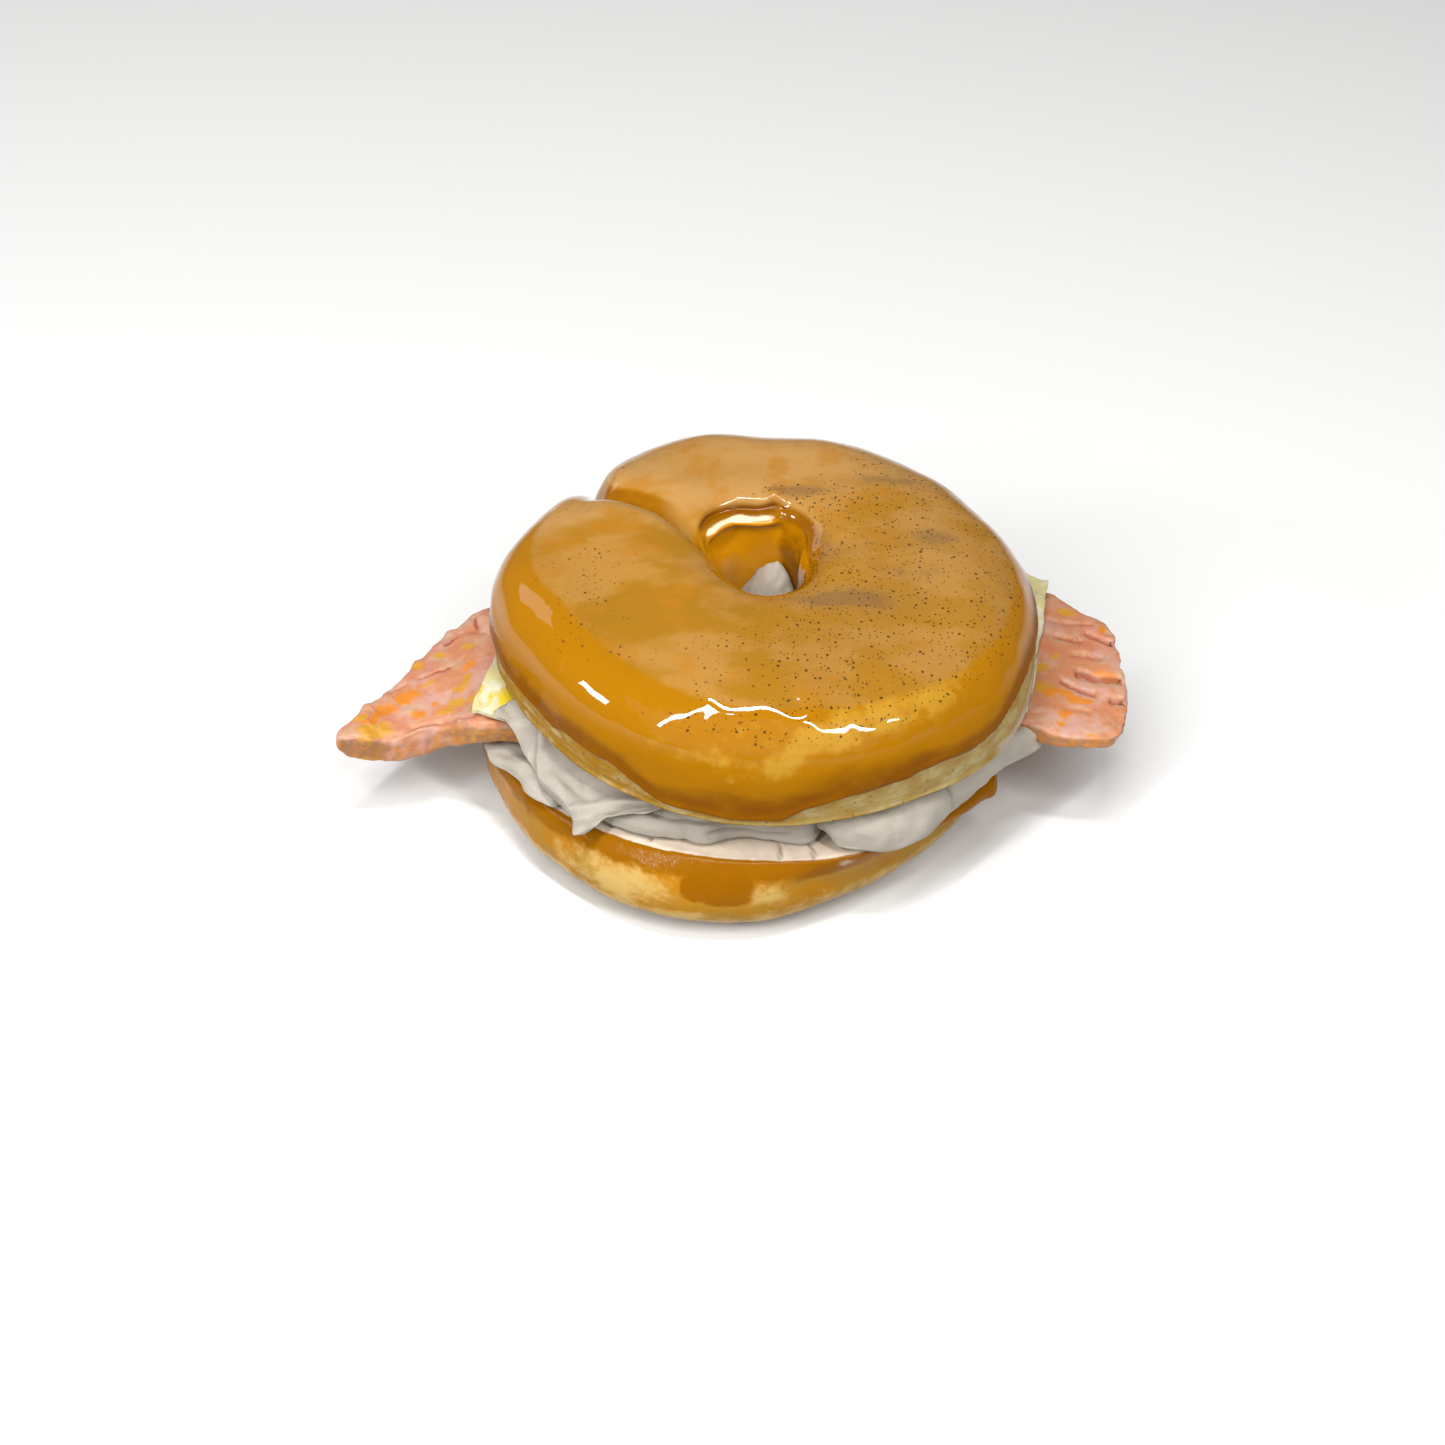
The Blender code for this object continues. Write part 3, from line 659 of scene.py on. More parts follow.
def glaze_on_crown(look):
    """Amber glaze: cloudy tan and olive on the crown, deep at the wall's foot, specked.

    A clear coat lies on the crown and its shoulder.  Below the glaze's edge the clay is bare.
    Painted sheen lies on the back and right of the crown, and painted highlights below its
    front shoulder and on the ridge in the hole.
    """
    recipe = Recipe("amber_glaze", IOR=1.1, Coat_IOR=1.4, Coat_Roughness=0.04)
    fine = recipe.noise(4.0, 4.0, 0.62)
    clouds = recipe.noise(15.0, 4.0, 0.58, stretch=(0.75, 1.3, 1.0))
    lumps = recipe.noise(6.5, 3.0, 0.6, stretch=(0.7, 0.7, 1.1))
    warm = recipe.noise(9.0, 4.0, 0.6, seed=0.7)
    layers = recipe.noise(4.5, 4.0, 0.65, stretch=(0.8, 0.8, 1.5), seed=0.3)

    toast = clouds - recipe.field("olive") * 0.22
    painted_sheen_mask = recipe.frayed("painted_sheen", (clouds, 1.3), (fine, 0.5))
    dust = recipe.frayed("dust", (clouds, 1.2))
    smudge = recipe.frayed("smudge", (clouds, 1.3), (fine, 1.3))
    crown = recipe.cover(look.olive, look.toasted, toast, 0.39, 0.59)
    # Painted sheen towards the back and right of the crown.
    crown = recipe.cover(crown, look.painted_sheen, painted_sheen_mask, 0.25, 1.1, 0.8)
    crown = recipe.cover(crown, WARM_COLOUR, warm, 0.5, 0.66, 0.6)
    crown = recipe.cover(crown, DUSTY_COLOUR, dust, 0.3, 1.1, 0.55)
    crown = recipe.cover(crown, SMUDGE_COLOUR, smudge, 0.4, 1.15, 0.62)

    thick = recipe.frayed("thick", (lumps, 1.1), (fine, 0.4))
    # Lighter honey band below the front shoulder: partly lighter glaze, partly painted highlight.
    honey_and_highlight = recipe.frayed("honey_and_highlight", (lumps, 1.8), (fine, 1.8))
    wall = recipe.cover(look.amber, look.pooled, thick, 0.15, 1.1)
    wall = recipe.cover(wall, look.honey, honey_and_highlight, 0.35, 1.1, 0.75)
    hollow = recipe.field("hollow") * (1.0 - recipe.step(thick, 0.3, 0.9) * 0.75)
    wall = recipe.mix(hollow, wall, HOLLOW_COLOUR)
    # Painted highlight: a pale line along the ridge at the back of the hole.
    wall = recipe.cover(wall, PAINTED_HIGHLIGHT_COLOUR, recipe.frayed("ridge_highlight", (fine, 1.2)), 0.35, 0.75)

    level = recipe.frayed("level", (lumps, 0.5), (fine, 0.3))
    colour = recipe.cover(wall, crown, level, 0.15, 0.85)
    specks = recipe.largest(recipe.specks(1.7, 0.40, 0.65, 0.18) * recipe.step(dust, 0.15, 0.5),
                            recipe.specks(0.95, 0.24, 0.8, 0.12) * recipe.step(dust, 0.25, 0.6))
    colour = recipe.mix(specks * 0.85, colour, SPECK_COLOUR)

    pits = recipe.specks(1.5, 0.36, 0.5, 0.2)
    bare = recipe.mix(recipe.field("chalky"), look.ochre, look.khaki)
    bare = recipe.cover(bare, CHALK_COLOUR, layers, 0.46, 0.68, 0.7)
    bare = recipe.cover(bare, look.amber, layers, 0.46, 0.34, 0.4)
    bare = recipe.mix(pits * 0.75, bare, SMUDGE_COLOUR)
    bare = recipe.cover(bare, RIM_COLOUR, recipe.frayed("rim", (fine, 0.8)), 0.3, 0.7, 0.8)

    glazed = recipe.step(recipe.frayed("above_line", (fine, 0.6)), -0.3, 0.15)
    roughness = look.gloss + (1.0 - glazed) * 0.25 + recipe.step(fine, 0.52, 0.8) * 0.04
    height = recipe.noise(5.0, 2.0) * 0.05 + (layers * 0.35 - pits * 0.3) * (1.0 - glazed)
    return recipe.finish(recipe.mix(glazed, bare, colour), roughness, height, 0.35,
                         coat=recipe.field("coat"))


def glaze_on_base(look):
    """Mottled glaze on the lower half, an amber band under the cut, bare clay on the cut, with
    painted shade in the cut's cracks and a painted lilac sheen at the front.
    """
    recipe = Recipe("baked_glaze", IOR=1.13)
    clouds = recipe.noise(9.0, 4.0, 0.65, stretch=(0.8, 0.8, 1.5))
    fine = recipe.noise(3.0, 4.0, 0.65)
    pits = recipe.specks(1.9, 0.3, 0.3, 0.12)

    pale = recipe.frayed("pale", (clouds, 2.2), (fine, 1.2))
    stripe = recipe.step(recipe.frayed("below_rim", (clouds, 6.0), (fine, 2.0)), 4.6, 2.6)
    pool = recipe.step(recipe.frayed("pooled", (clouds, 1.1), (fine, 0.6)), 0.35, 0.65)
    colour = recipe.cover(look.ochre, BASE_AMBER, clouds, 0.38, 0.60)
    colour = recipe.cover(colour, BASE_PALE, pale, 0.25, 1.0, 0.85)
    colour = recipe.mix(recipe.largest(stripe * 0.95, pool), colour, BASE_POOL)
    # Painted lilac sheen at the front, just under the cut.
    colour = recipe.cover(colour, BASE_SHEEN_LILAC, recipe.frayed("lilac", (fine, 0.8)), 0.4, 0.9, 0.7)

    face = recipe.cover(CUT_LIGHT, CUT_DARK, fine, 0.38, 0.68)
    # Painted shade in the cracks of the cut face.
    face = recipe.mix(recipe.field("crack") * 0.7, face, CUT_CRACK_SHADE)
    dry = recipe.step(recipe.frayed("below_rim", (fine, 0.9)), -0.35, -0.9)
    colour = recipe.mix(dry, colour, face)
    colour = recipe.mix(pits * 0.45, colour, SMUDGE_COLOUR)
    roughness = look.gloss + 0.06 + dry * 0.5 + recipe.step(fine, 0.45, 0.8) * 0.10
    return recipe.finish(colour, roughness, fine * 0.35 - pits * 0.15, 0.5)


def white_clay(look):
    """Matt off-white clay with smears, faint grey stains, fine grain and painted shade in creases."""
    recipe = Recipe("white_clay", IOR=1.4)
    smear = recipe.noise(6.0, 4.0, 0.62, stretch=(0.6, 1.0, 1.5))
    grain = recipe.noise(0.8, 3.0, 0.65)
    shade = tuple(0.84 * part for part in look.white)
    colour = recipe.cover(look.white, shade, smear, 0.42, 0.70)
    colour = recipe.cover(colour, GRAIN_COLOUR, grain, 0.60, 0.75, 0.35)
    colour = recipe.cover(colour, STAIN_COLOUR, recipe.frayed("stain", (smear, 0.7)), 0.35, 0.95)
    # Painted shade in the creases.
    colour = recipe.mix(recipe.field("crease") * 0.7, colour, CREASE_SHADE_COLOUR)
    return recipe.finish(colour, 0.5 + smear * 0.2, smear * 0.35 + grain * 0.06, 0.6)


def pink_fish(look):
    """Pink clay, cloudy and streaked, with painted orange, gold and red strokes and flecks.
    Its side face is a darker ochre, partly painted shade, and its cuts hold painted shade.
    """
    recipe = Recipe("pink_fish", IOR=1.42)
    clouds = recipe.noise(7.0, 4.0, 0.62, stretch=(0.7, 1.2, 1.2))
    fine = recipe.noise(2.2, 4.0, 0.65)
    lilac = recipe.noise(8.0, 4.0, 0.6, seed=7.0)
    rose = recipe.noise(9.0, 4.0, 0.6, seed=3.0)
    chalk = recipe.noise(4.5, 4.0, 0.65, seed=5.0)
    colour = recipe.cover(look.flesh, look.pale, clouds, 0.44, 0.64)
    colour = recipe.cover(colour, LILAC_COLOUR, lilac, 0.48, 0.66, 0.8)
    colour = recipe.cover(colour, ROSE_COLOUR, rose, 0.50, 0.66, 0.7)
    colour = recipe.cover(colour, PIT_COLOUR, chalk, 0.55, 0.72, 0.5)
    # Ochre side face, darker as painted shade.
    ochre = recipe.frayed("side", (rose, 1.6), (fine, 0.8))
    colour = recipe.cover(colour, SIDE_SHADE_OCHRE, ochre, 0.35, 1.05, 0.8)
    gold = recipe.step(recipe.frayed("gold", (fine, 2.0)), -0.15, 0.55)
    flecks = recipe.specks(5.5, 1.1, 0.22, 0.35) * recipe.field("shown")
    colour = recipe.mix(recipe.largest(gold * 0.92, flecks * 0.5), colour, GOLD_COLOUR)
    colour = recipe.cover(colour, look.orange, recipe.frayed("orange", (fine, 2.0)), -0.15, 0.5, 0.95)
    colour = recipe.cover(colour, RED_COLOUR, recipe.frayed("red", (fine, 0.6)), 0.25, 0.8, 0.8)
    # Dark red in the cuts: partly their own colour, partly painted shade.
    colour = recipe.cover(colour, GASH_SHADE_COLOUR, recipe.frayed("gash", (fine, 0.6)), 0.3, 0.95, 0.8)
    pits = recipe.specks(2.6, 0.45, 0.3, 0.25)
    colour = recipe.mix(pits * 0.45, colour, PIT_COLOUR)
    height = clouds * 0.3 + fine * 0.28 - pits * 0.2
    return recipe.finish(colour, 0.34 + fine * 0.25, height, 0.75)


def yellow_clay(look):
    """Pale yellow clay, brighter in patches."""
    recipe = Recipe("yellow_clay", IOR=1.42)
    cloud = recipe.noise(5.0, 4.0, 0.62)
    patch = recipe.noise(3.5, 3.0, 0.6, stretch=(1.0, 0.6, 1.0))
    colour = recipe.cover(look.yellow, SLICE_PALE, cloud, 0.42, 0.62)
    colour = recipe.cover(colour, SLICE_BRIGHT, recipe.frayed("bright", (patch, 3.0)), 0.45, 0.95)
    return recipe.finish(colour, 0.36 + cloud * 0.15, cloud * 0.35, 0.6)


# ---------------------------------------------------------------------------
# Bagel halves
# ---------------------------------------------------------------------------

UPPER_GRID = (640, 180)
UPPER_SHARES = (16, 2, 2, 3)
LOWER_GRID = (560, 130)
LOWER_SHARES = (13, 2, 5, 3)

# Round swellings (x, y, radius, height) pressed into the crown.
CROWN_BUMPS = (
    (3.5, 22, 2.3, 1.3), (14, 6.5, 4.5, -1.2), (20, -1, 6.5, 0.8), (6.5, -43, 2.3, -0.5),
    (-30, 18, 7, 0.6), (-11, -40, 3, 0.35), (-46, 6, 9, -0.5), (-27, -36, 4, 0.5),
    (-38, 27, 9, -1.8), (-25, 44, 11, -1.6), (30, 42, 12, -1.4), (-5, -50, 0.8, 0.8),
    (-8, -51, 0.6, 0.6), (38, -41, 0.8, 0.8))

# Back of the hole: the angles between which it fades in and out, and the depth, width and
# height of the groove and the ridge that run along it.
LEDGE_ANGLES = (56, 74, 150, 170)
LEDGE = ((2.4, 0.8, -1.1), (4.6, 1.1, 2))

# Oval patches on the crown: (x, y, width, depth, strength).
SMUDGES = (
    (14, -13, 9, 3.5, 1), (24, -12.5, 9, 3.5, 1), (37, 7, 7, 4, 1), (13, 8, 3, 6, 1),
    (9, 24, 7, 2.5, 1), (32, -4, 6, 2.5, 1), (28, 28, 12, 2, 1))
OLIVE_PATCHES = ((-28, -19, 15, 10, 1), (8, -24, 12, 8, 0.6))
# Painted sheen, a reflection, on the crown's right.
PAINTED_SHEEN_PATCHES = ((36, 8, 12, 26, 0.75),)

# Cracks on the cut face, how its torn clay dips, and a drop of glaze (bearing, width,
# height) at its rim.
CUT_CRACKS = (
    ((3.9, -46), (4.2, -48.4), (3.6, -51.2)), ((10.3, -45.8), (11.2, -47.8), (10.8, -50.4)),
    ((-24, -41), (-22.8, -44.5)))
CRACK_WIDTH = 0.35
CRACK_DEPTH = 0.6
TORN_DIP = 0.1
TORN_ROUGHNESS = 0.22
CUT_DROP = ((-42, 6, 0.9), (-34, 6, 1.9), (-29, 3, 2.6))

# Pools of glaze at the lower half's front: strength, x, width, and the depths below the cut
# between which each fades; noise wavers their sides.
FRONT_POOLS = ((1.1, -9, 7.5, 10.5, 7), (0.95, 15, 10, 6, 3.5))
POOL_WAVER = 4

# Depth of the thick glaze at the upper wall's foot, and where it is less, each (by how
# much, from which bearing, to which).
THICK_DEPTH = 12
THINNER = ((6, -68, -48), (4, -95, -118))


def upper_cut(y):
    """Height of the upper half's cut face, which leans forward."""
    return UPPER_CUT_MID + UPPER_CUT_SLOPE * y


def ring_angles(around, across):
    """Grids of the angle round the ring and of the angle round its tube, from outside."""
    ring = np.arange(around)[:, None] * 360 / around
    tube = np.arange(across)[None, :] * 360 / across
    return np.broadcast_arrays(ring, tube)


def bearing_from(x, y, centre):
    """Plan angle of a point seen from a centre, in degrees, between -180 and 180."""
    return turned(np.degrees(np.arctan2(y - centre[1], x - centre[0])), 0)


def half_section(tube, shares, bulge, height, curl, power_out, power_in):
    """Half a bagel's section: reach from -1 at the hole to 1 outside, and rise off the cut.

    Above the bulge it is a superellipse.  Below it both walls curl in to the rim of the
    flat cut face, by the share curl of half the width.  The shares divide the turn between
    the arch, the hole's lower wall, the cut face and the outer lower wall.
    """
    rows = np.cumsum((0, *shares)) * 360 / sum(shares)
    angle = np.interp(tube, rows, (0, 180, 225, 315, 360))
    cosine = np.cos(np.radians(angle))
    sine = np.sin(np.radians(angle))
    power = np.where(cosine > 0, power_out, power_in)
    reach = np.sign(cosine) * np.abs(cosine) ** (2 / power)
    rise = bulge + (height - bulge) * np.abs(sine) ** (2 / power)
    tuck = np.where(angle >= 315, (360 - angle) / 45, (angle - 180) / 45)
    side = np.where(angle >= 270, 1, -1)
    below = angle > 180
    flat = (angle > 225) & (angle < 315)
    walls = side * (1 - curl * tuck ** 2)
    face = (angle - 270) / 45 * (1 - curl)
    reach = np.where(below, np.where(flat, face, walls), reach)
    rise = np.where(below, np.where(flat, 0, bulge * (1 - tuck)), rise)
    return reach, rise, flat


def ring_place(angle, reach, centre, outline, hole_centre, hole_radius):
    """Point on the straight line from the hole's edge to the outline, both at this angle."""
    share = (1 + reach) / 2
    cosine = np.cos(np.radians(angle))
    sine = np.sin(np.radians(angle))
    x = share * (centre[0] + outline * cosine)
    y = share * (centre[1] + outline * sine)
    x += (1 - share) * (hole_centre[0] + hole_radius * cosine)
    y += (1 - share) * (hole_centre[1] + hole_radius * sine)
    return x, y


def seam_fall(distance, steep, gentle):
    """Share of the seam's depth: a round arm end on the far side, a gentle slope before it."""
    over = np.clip(distance / steep, 0, 1)
    under = np.clip(-distance / gentle, 0, 1)
    return np.where(distance > 0, 1 - np.sqrt(1 - (1 - over) ** 2), (1 - under) ** 2)


def upper_form():
    """The upper half before its glaze: its points, reach, depth under the crown, and seam.

    Each point is the section's place between hole and outline.  The grid is crowded at the
    seam and turns with it, as it winds from the outline into the hole; there one arm's round
    end lies over the other.  Bumps and long waves press the crown out of true.
    """
    ring, tube = ring_angles(*UPPER_GRID)
    away = turned(ring, 0)
    away = away * (1 - SEAM_CROWDING * hill(away, 0, SEAM_CROWDED))
    first = open_curve(SEAM_LINE, np.zeros_like(away)) + away
    front = turned(first, CRISP_ANGLE)
    crisp = smooth(np.abs(front), *CRISP_SPAN)
    power_in = UPPER_POWER_IN[0] + (UPPER_POWER_IN[1] - UPPER_POWER_IN[0]) * crisp
    bulge = UPPER_BULGE - UPPER_BULGE_DROP * hill(turned(first, LOW_BULGE_ANGLE), 0, LOW_BULGE_WIDTH)
    reach, rise, flat = half_section(tube, UPPER_SHARES, bulge, UPPER_HEIGHT,
                                     UPPER_CURL / HALF_WIDTH, UPPER_POWER_OUT, power_in)

    seam = open_curve(SEAM_LINE, reach)
    angle = seam + away
    angle = angle - (seam - SEAM_ANGLE) * (1 - hill(away, 0, SEAM_FADE))
    distance = np.radians(away) * SEAM_RADIUS * (1 - SEAM_TAPER * (1 - reach))
    steep = SEAM_STEEP * (1 + SEAM_OPENING * smooth(reach, 0.2, 0.9))
    notch = SEAM_NOTCH * seam_fall(distance, steep, NOTCH_GENTLE) * smooth(reach, 0, 0.9)
    outline = round_curve(UPPER_OUTLINE, angle) - notch
    swell, at_angle, width = HOLE_SWELL
    hole = round_curve(UPPER_HOLE_OUTLINE, angle)
    hole = hole - swell * hill(turned(angle, at_angle), 0, width) * smooth(rise, *SWELL_FADE)
    x, y = ring_place(angle, reach, UPPER_CENTRE, outline, UPPER_HOLE_CENTRE, hole)

    crown = np.clip(rise / UPPER_HEIGHT, 0, 1)
    depth = UPPER_HEIGHT - rise
    rise = rise * (1 + UPPER_HEIGHT_SLOPE * y / UPPER_HEIGHT)
    pressed = PRESS_HEIGHT * undulation(x, y, PRESS_SEED, PRESS_LENGTH) + knobs(x, y, CROWN_BUMPS)
    rise = rise + crown ** 1.5 * (pressed - SEAM_DROP * seam_fall(distance, steep, SEAM_GENTLE))
    low = smooth(rise, RIM_DROP_FROM, 0) * np.where(flat, np.maximum(reach, 0), reach > 0)
    z = upper_cut(y) + rise - open_curve(RIM_DROP, bearing_from(x, y, UPPER_CENTRE)) * low
    return x, y, z, reach, rise, depth, flat, distance


def build_upper_half(settings):
    """Upper half: its form, dressed in glaze and with a ledge round the back of the hole.

    The glaze stands off the wall above a wavy line and ends there in a bead.  Below it the
    bare clay is rough and, at the left, combed in ridges.
    """
    x, y, z, reach, rise, depth, flat, distance = upper_form()
    bearing = bearing_from(x, y, UPPER_CENTRE)
    outside = reach > 0
    inside = reach < 0
    over_line = rise - open_curve(GLAZE_LINE, bearing)
    above = np.where(outside, over_line - GLAZE_WAVER * lattice_noise(x, y, z, 6, 11), rise)
    above = np.where(flat, -4, above)
    glaze = GLAZE_DEPTH * (smooth(above, -0.2, 0.7) - 1) + GLAZE_BEAD * hill(above, 0.9, 0.8)
    ridges = RIDGE_HEIGHT * np.sin(rise * 3.2 + 2.5 * lattice_noise(x, y, z, 12, 13))
    ridges = ridges * smooth(bearing, -90, -125)
    bare = smooth(above, 0, -0.5) * (ridges + BARE_ROUGHNESS * fractal(x, y, z, 4.5, 15, 4))
    glaze = glaze * smooth(rise, 0, 1) + bare * smooth(rise, 0, 1.5)
    glaze = np.where(outside & ~flat, glaze, 0)

    round_hole = turned(bearing_from(x, y, UPPER_HOLE_CENTRE), 90) + 90
    behind = smooth(round_hole, *LEDGE_ANGLES[:2]) * (1 - smooth(round_hole, *LEDGE_ANGLES[2:]))
    ledge = sum(height * hill(depth, middle, width) for middle, width, height in LEDGE)
    ledge = ledge * behind * smooth(reach, -0.5, -0.75)
    ledge = ledge * (1 + 0.45 * lattice_noise(x, y, 0 * x, 3.5, 17))
    uneven = settings.relief / MM * fractal(x, y, z, 13, 21, 3)
    x, y, z = pushed(x, y, z, np.where(flat, 0, glaze + ledge + uneven))

    # Along the seam's low side, glaze has pooled; elsewhere it is thick at the wall's foot,
    # on the right of the hole and in the ledge's groove.
    pooled = smooth(distance, -5.2, -3) * smooth(distance, 0.5, -0.5)
    pooled = pooled * (0.3 + 0.7 * smooth(x, -13, -27))
    edge = depth / open_curve(CROWN_EDGE, bearing)
    level = np.where(outside, smooth(edge, 1.45, 0.65), smooth(depth, 2.6, 0.8))
    deep = THICK_DEPTH - sum(less * smooth(bearing, start, end) for less, start, end in THINNER)
    thick = np.where(outside, smooth(over_line, deep, 2), 0.15)
    for more in (0.8 * smooth(x, 2, 6) * inside, behind * hill(depth, 2.5, 1.2) * inside,
                 0.7 * pooled):
        thick = np.maximum(thick, more)
    # Band below the crown's front shoulder: lighter glaze, partly painted highlight.
    honey_and_highlight = np.maximum(hill(bearing, -75, 40), 0.5 * hill(bearing, -25, 14))
    # Painted highlight along the crest of the ridge at the back of the hole.
    ridge_highlight = behind * hill(depth, 3.9, 0.45) * inside * smooth(x, 6, 3)
    smudge = spots(x, y, SMUDGES)
    dust = 0.12 + 0.6 * smooth(x - 0.4 * y, -10, 28) + 0.2 * hill(x, -36, 11)
    fields = {"olive": spots(x, y, OLIVE_PATCHES), "level": level * (1 - pooled), "thick": thick,
              "honey_and_highlight": hill(over_line, 15, 4.5) * outside * honey_and_highlight,
              # Painted sheen: lighter towards the back and right, standing in for reflected light.
              "painted_sheen": smooth(y - 0.3 * x, 8, 30) + spots(x, y, PAINTED_SHEEN_PATCHES),
              "hollow": inside * smooth(depth, 3.6, 4.8) * ~flat,
              "ridge_highlight": ridge_highlight * (0.9 + 0.5 * lattice_noise(x, y, z, 4, 19)),
              "above_line": above, "smudge": smudge, "chalky": smooth(bearing, -118, -80),
              "dust": (dust + 0.8 * smudge) * smooth(depth, 8, 4.5),
              "coat": np.where(outside, smooth(depth, 11, 7), 1) * ~flat,
              "rim": smooth(bearing, -45, -25) * smooth(rise, 4, 1.5) * outside}
    return add_piece("bagel_top_glazed", x, y, z, fields, glaze_on_crown(settings),
                     "bagel_top")


def build_lower_half(settings):
    """Lower half: the section turned over, cut face up, its wall glazed in a thick band.

    The cut face is torn: noise lifts it, and cracks run in from its rim.  At the right a
    drop of glaze stands off the rim.
    """
    ring, tube = ring_angles(*LOWER_GRID)
    outline = round_curve(LOWER_SHOWN_OUTLINE, ring)
    curl = (outline - round_curve(LOWER_RIM, ring)) / HALF_WIDTH
    reach, rise, flat = half_section(tube, LOWER_SHARES, LOWER_BULGE, LOWER_ARCH, curl,
                                     LOWER_POWER, LOWER_POWER)
    x, y = ring_place(ring, reach, LOWER_CENTRE, outline, LOWER_HOLE_CENTRE, LOWER_HOLE_RADIUS)
    z = LOWER_HEIGHT - rise
    below = np.where(flat, (np.abs(reach) - 1 + curl) * HALF_WIDTH, rise)
    bearing = bearing_from(x, y, LOWER_CENTRE)
    uneven = 0.3 * fractal(x, y, z, 14, 31, 3) + 0.12 * fractal(x, y, z, 4, 35, 2)
    band = 0.3 * hill(rise, 2.2, 1.6) * (reach > 0) * smooth(rise, 0, 1)
    for angle, width, height in CUT_DROP:
        band = band + height * hill(bearing, angle, width) * hill(rise, 1.2, 1.6) * (reach > 0.5)
    crack = np.clip(sum(groove(x, y, line, CRACK_WIDTH) for line in CUT_CRACKS), 0, 1) * flat
    torn = flat * smooth(np.hypot(x - LOWER_CENTRE[0], y - LOWER_CENTRE[1]), 44, 48)
    torn = torn * (TORN_ROUGHNESS * fractal(x, y, z, 5, 33, 3) - TORN_DIP - CRACK_DEPTH * crack)
    torn = torn * smooth(below, 0, -1.2)
    x, y, z = pushed(x, y, z, uneven * smooth(rise, 0.5, 3) + band)
    z = np.where(flat, np.minimum(z + torn, LOWER_HEIGHT + 0.2), np.maximum(z, 0))

    # At the front, two pools of glaze with a pale gap between them, and a painted lilac sheen, a
    # reflection, just under the cut.
    front = (reach > 0) * ~flat
    ahead = hill(y, -52, 16)
    along = x + POOL_WAVER * lattice_noise(x, y, z, 5, 37)
    pooled = 0
    for strength, at_x, width, fades, full in FRONT_POOLS:
        pooled = np.maximum(pooled, strength * hill(along, at_x, width) * smooth(rise, fades, full))
    pooled = pooled * ahead * (1 - 0.8 * hill(x, 1, 3.6) * hill(rise, 6, 3))
    pale = np.maximum(hill(bearing, -119, 14) * hill(rise, 8, 5),
                      0.9 * hill(x, 1.5, 5) * hill(rise, 6.5, 3.4) * ahead)
    fields = {"below_rim": below, "pooled": pooled * front,
              "pale": np.maximum(pale, 0.7 * smooth(rise, 8.5, 12)),
              "lilac": 0.8 * hill(x, 18, 3.6) * hill(rise, 1.6, 1.3) * ahead * front,
              "crack": crack * smooth(below, 0, -0.8)}
    return add_piece("bagel_bottom_baked", x, y, z, fields, glaze_on_base(settings),
                     "bagel_bottom")


# ---------------------------------------------------------------------------
# Cream
# ---------------------------------------------------------------------------

SPREAD_ROWS = 64
SPREAD_AROUND = 700
LOBE_GRID = (241, 260)

# Taken off the heap in the hole, so that its foot is level with the cream round it.
HEAP_FOOT = 0.316

# Lower cream: a tear across its tongue, and creases along its front edge, each (x it runs
# from, x it runs to, height, length of its waves).
TONGUE_TEAR = ((-45.5, -33), (-43.4, -35.2), (-42, -37))
SLAB_CREASES = ((-27, -6, 25.9, 2), (-14, 8, 23.6, 3))

LOBE_CRACK = ((38.7, -38), (43.9, -38.2), (41, -43))
LOBE_FOLD = ((17, -50), (24, -46.5), (34, -41.5), (43, -36))

# Plan lines on the drooping cream: (points, width, height) of ridges and grooves, and an
# edge that laps over what lies on the right of its way.
CREAM_RIDGES = (
    (((-38.3, -41.3), (-33.7, -40.6), (-28.7, -41.2), (-23.6, -43.2)), 1, 1),
    (((-38.3, -41.3), (-37.4, -44.5), (-36.2, -48.5)), 1.2, 0.7),
    (((-46, -25), (-44, -31), (-41.5, -36), (-38.5, -41)), 1.5, 0.8),
    (((-34.5, -43.4), (-28, -43), (-22.5, -44.2)), 0.7, -1.1),
    (((-36, -39), (-30, -38.5), (-24, -40.5)), 1.3, -0.8),
    (((-55, -17), (-52.5, -21), (-49.5, -26)), 1.2, -0.5))
LAP_LINE = ((-46.5, -19), (-47.3, -23), (-47.8, -28), (-46.8, -32.7), (-44.2, -36.4), (-40, -40))
LAP_REACH = 5
LAP_HEIGHT = 1.5


def spread_grid(centre, edge, seed):
    """A flat round form: plan position, and share of the way to its top (+) or floor (-).

    Rows run from the middle of the top over the rim to the middle of the floor, through the
    stations of the section; noise wears the outline.
    """
    steps = len(SPREAD_REACH) - 1
    row = np.linspace(steps, -steps, 2 * SPREAD_ROWS + 1)[:, None]
    stations = np.arange(steps + 1)
    share = open_curve(np.column_stack((stations, SPREAD_REACH)), np.abs(row))
    lift = np.sign(row) * open_curve(np.column_stack((stations, SPREAD_LIFT)), np.abs(row))
    angle = np.arange(SPREAD_AROUND)[None, :] * 360 / SPREAD_AROUND
    angle, share, lift = np.broadcast_arrays(angle, share, lift)
    arc = np.radians(angle) * 50
    radius = open_curve(edge, angle) + 0.5 * lattice_noise(arc, lift * 2, 0, 4, seed)
    radius = radius * share
    x = centre[0] + radius * np.cos(np.radians(angle))
    y = centre[1] + radius * np.sin(np.radians(angle))
    return lift, x, y


def lower_cream_top(x, y):
    """Top of the lower cream: level under the fish, raised in front of it and behind it."""
    front = smooth(y, *SLAB_FROM_Y) * (TONGUE_RISE + SLAB_RISE * smooth(x, *SLAB_FROM_X))
    return SPREAD_TOP + front + BACK_RISE * smooth(y, *BACK_FROM_Y)


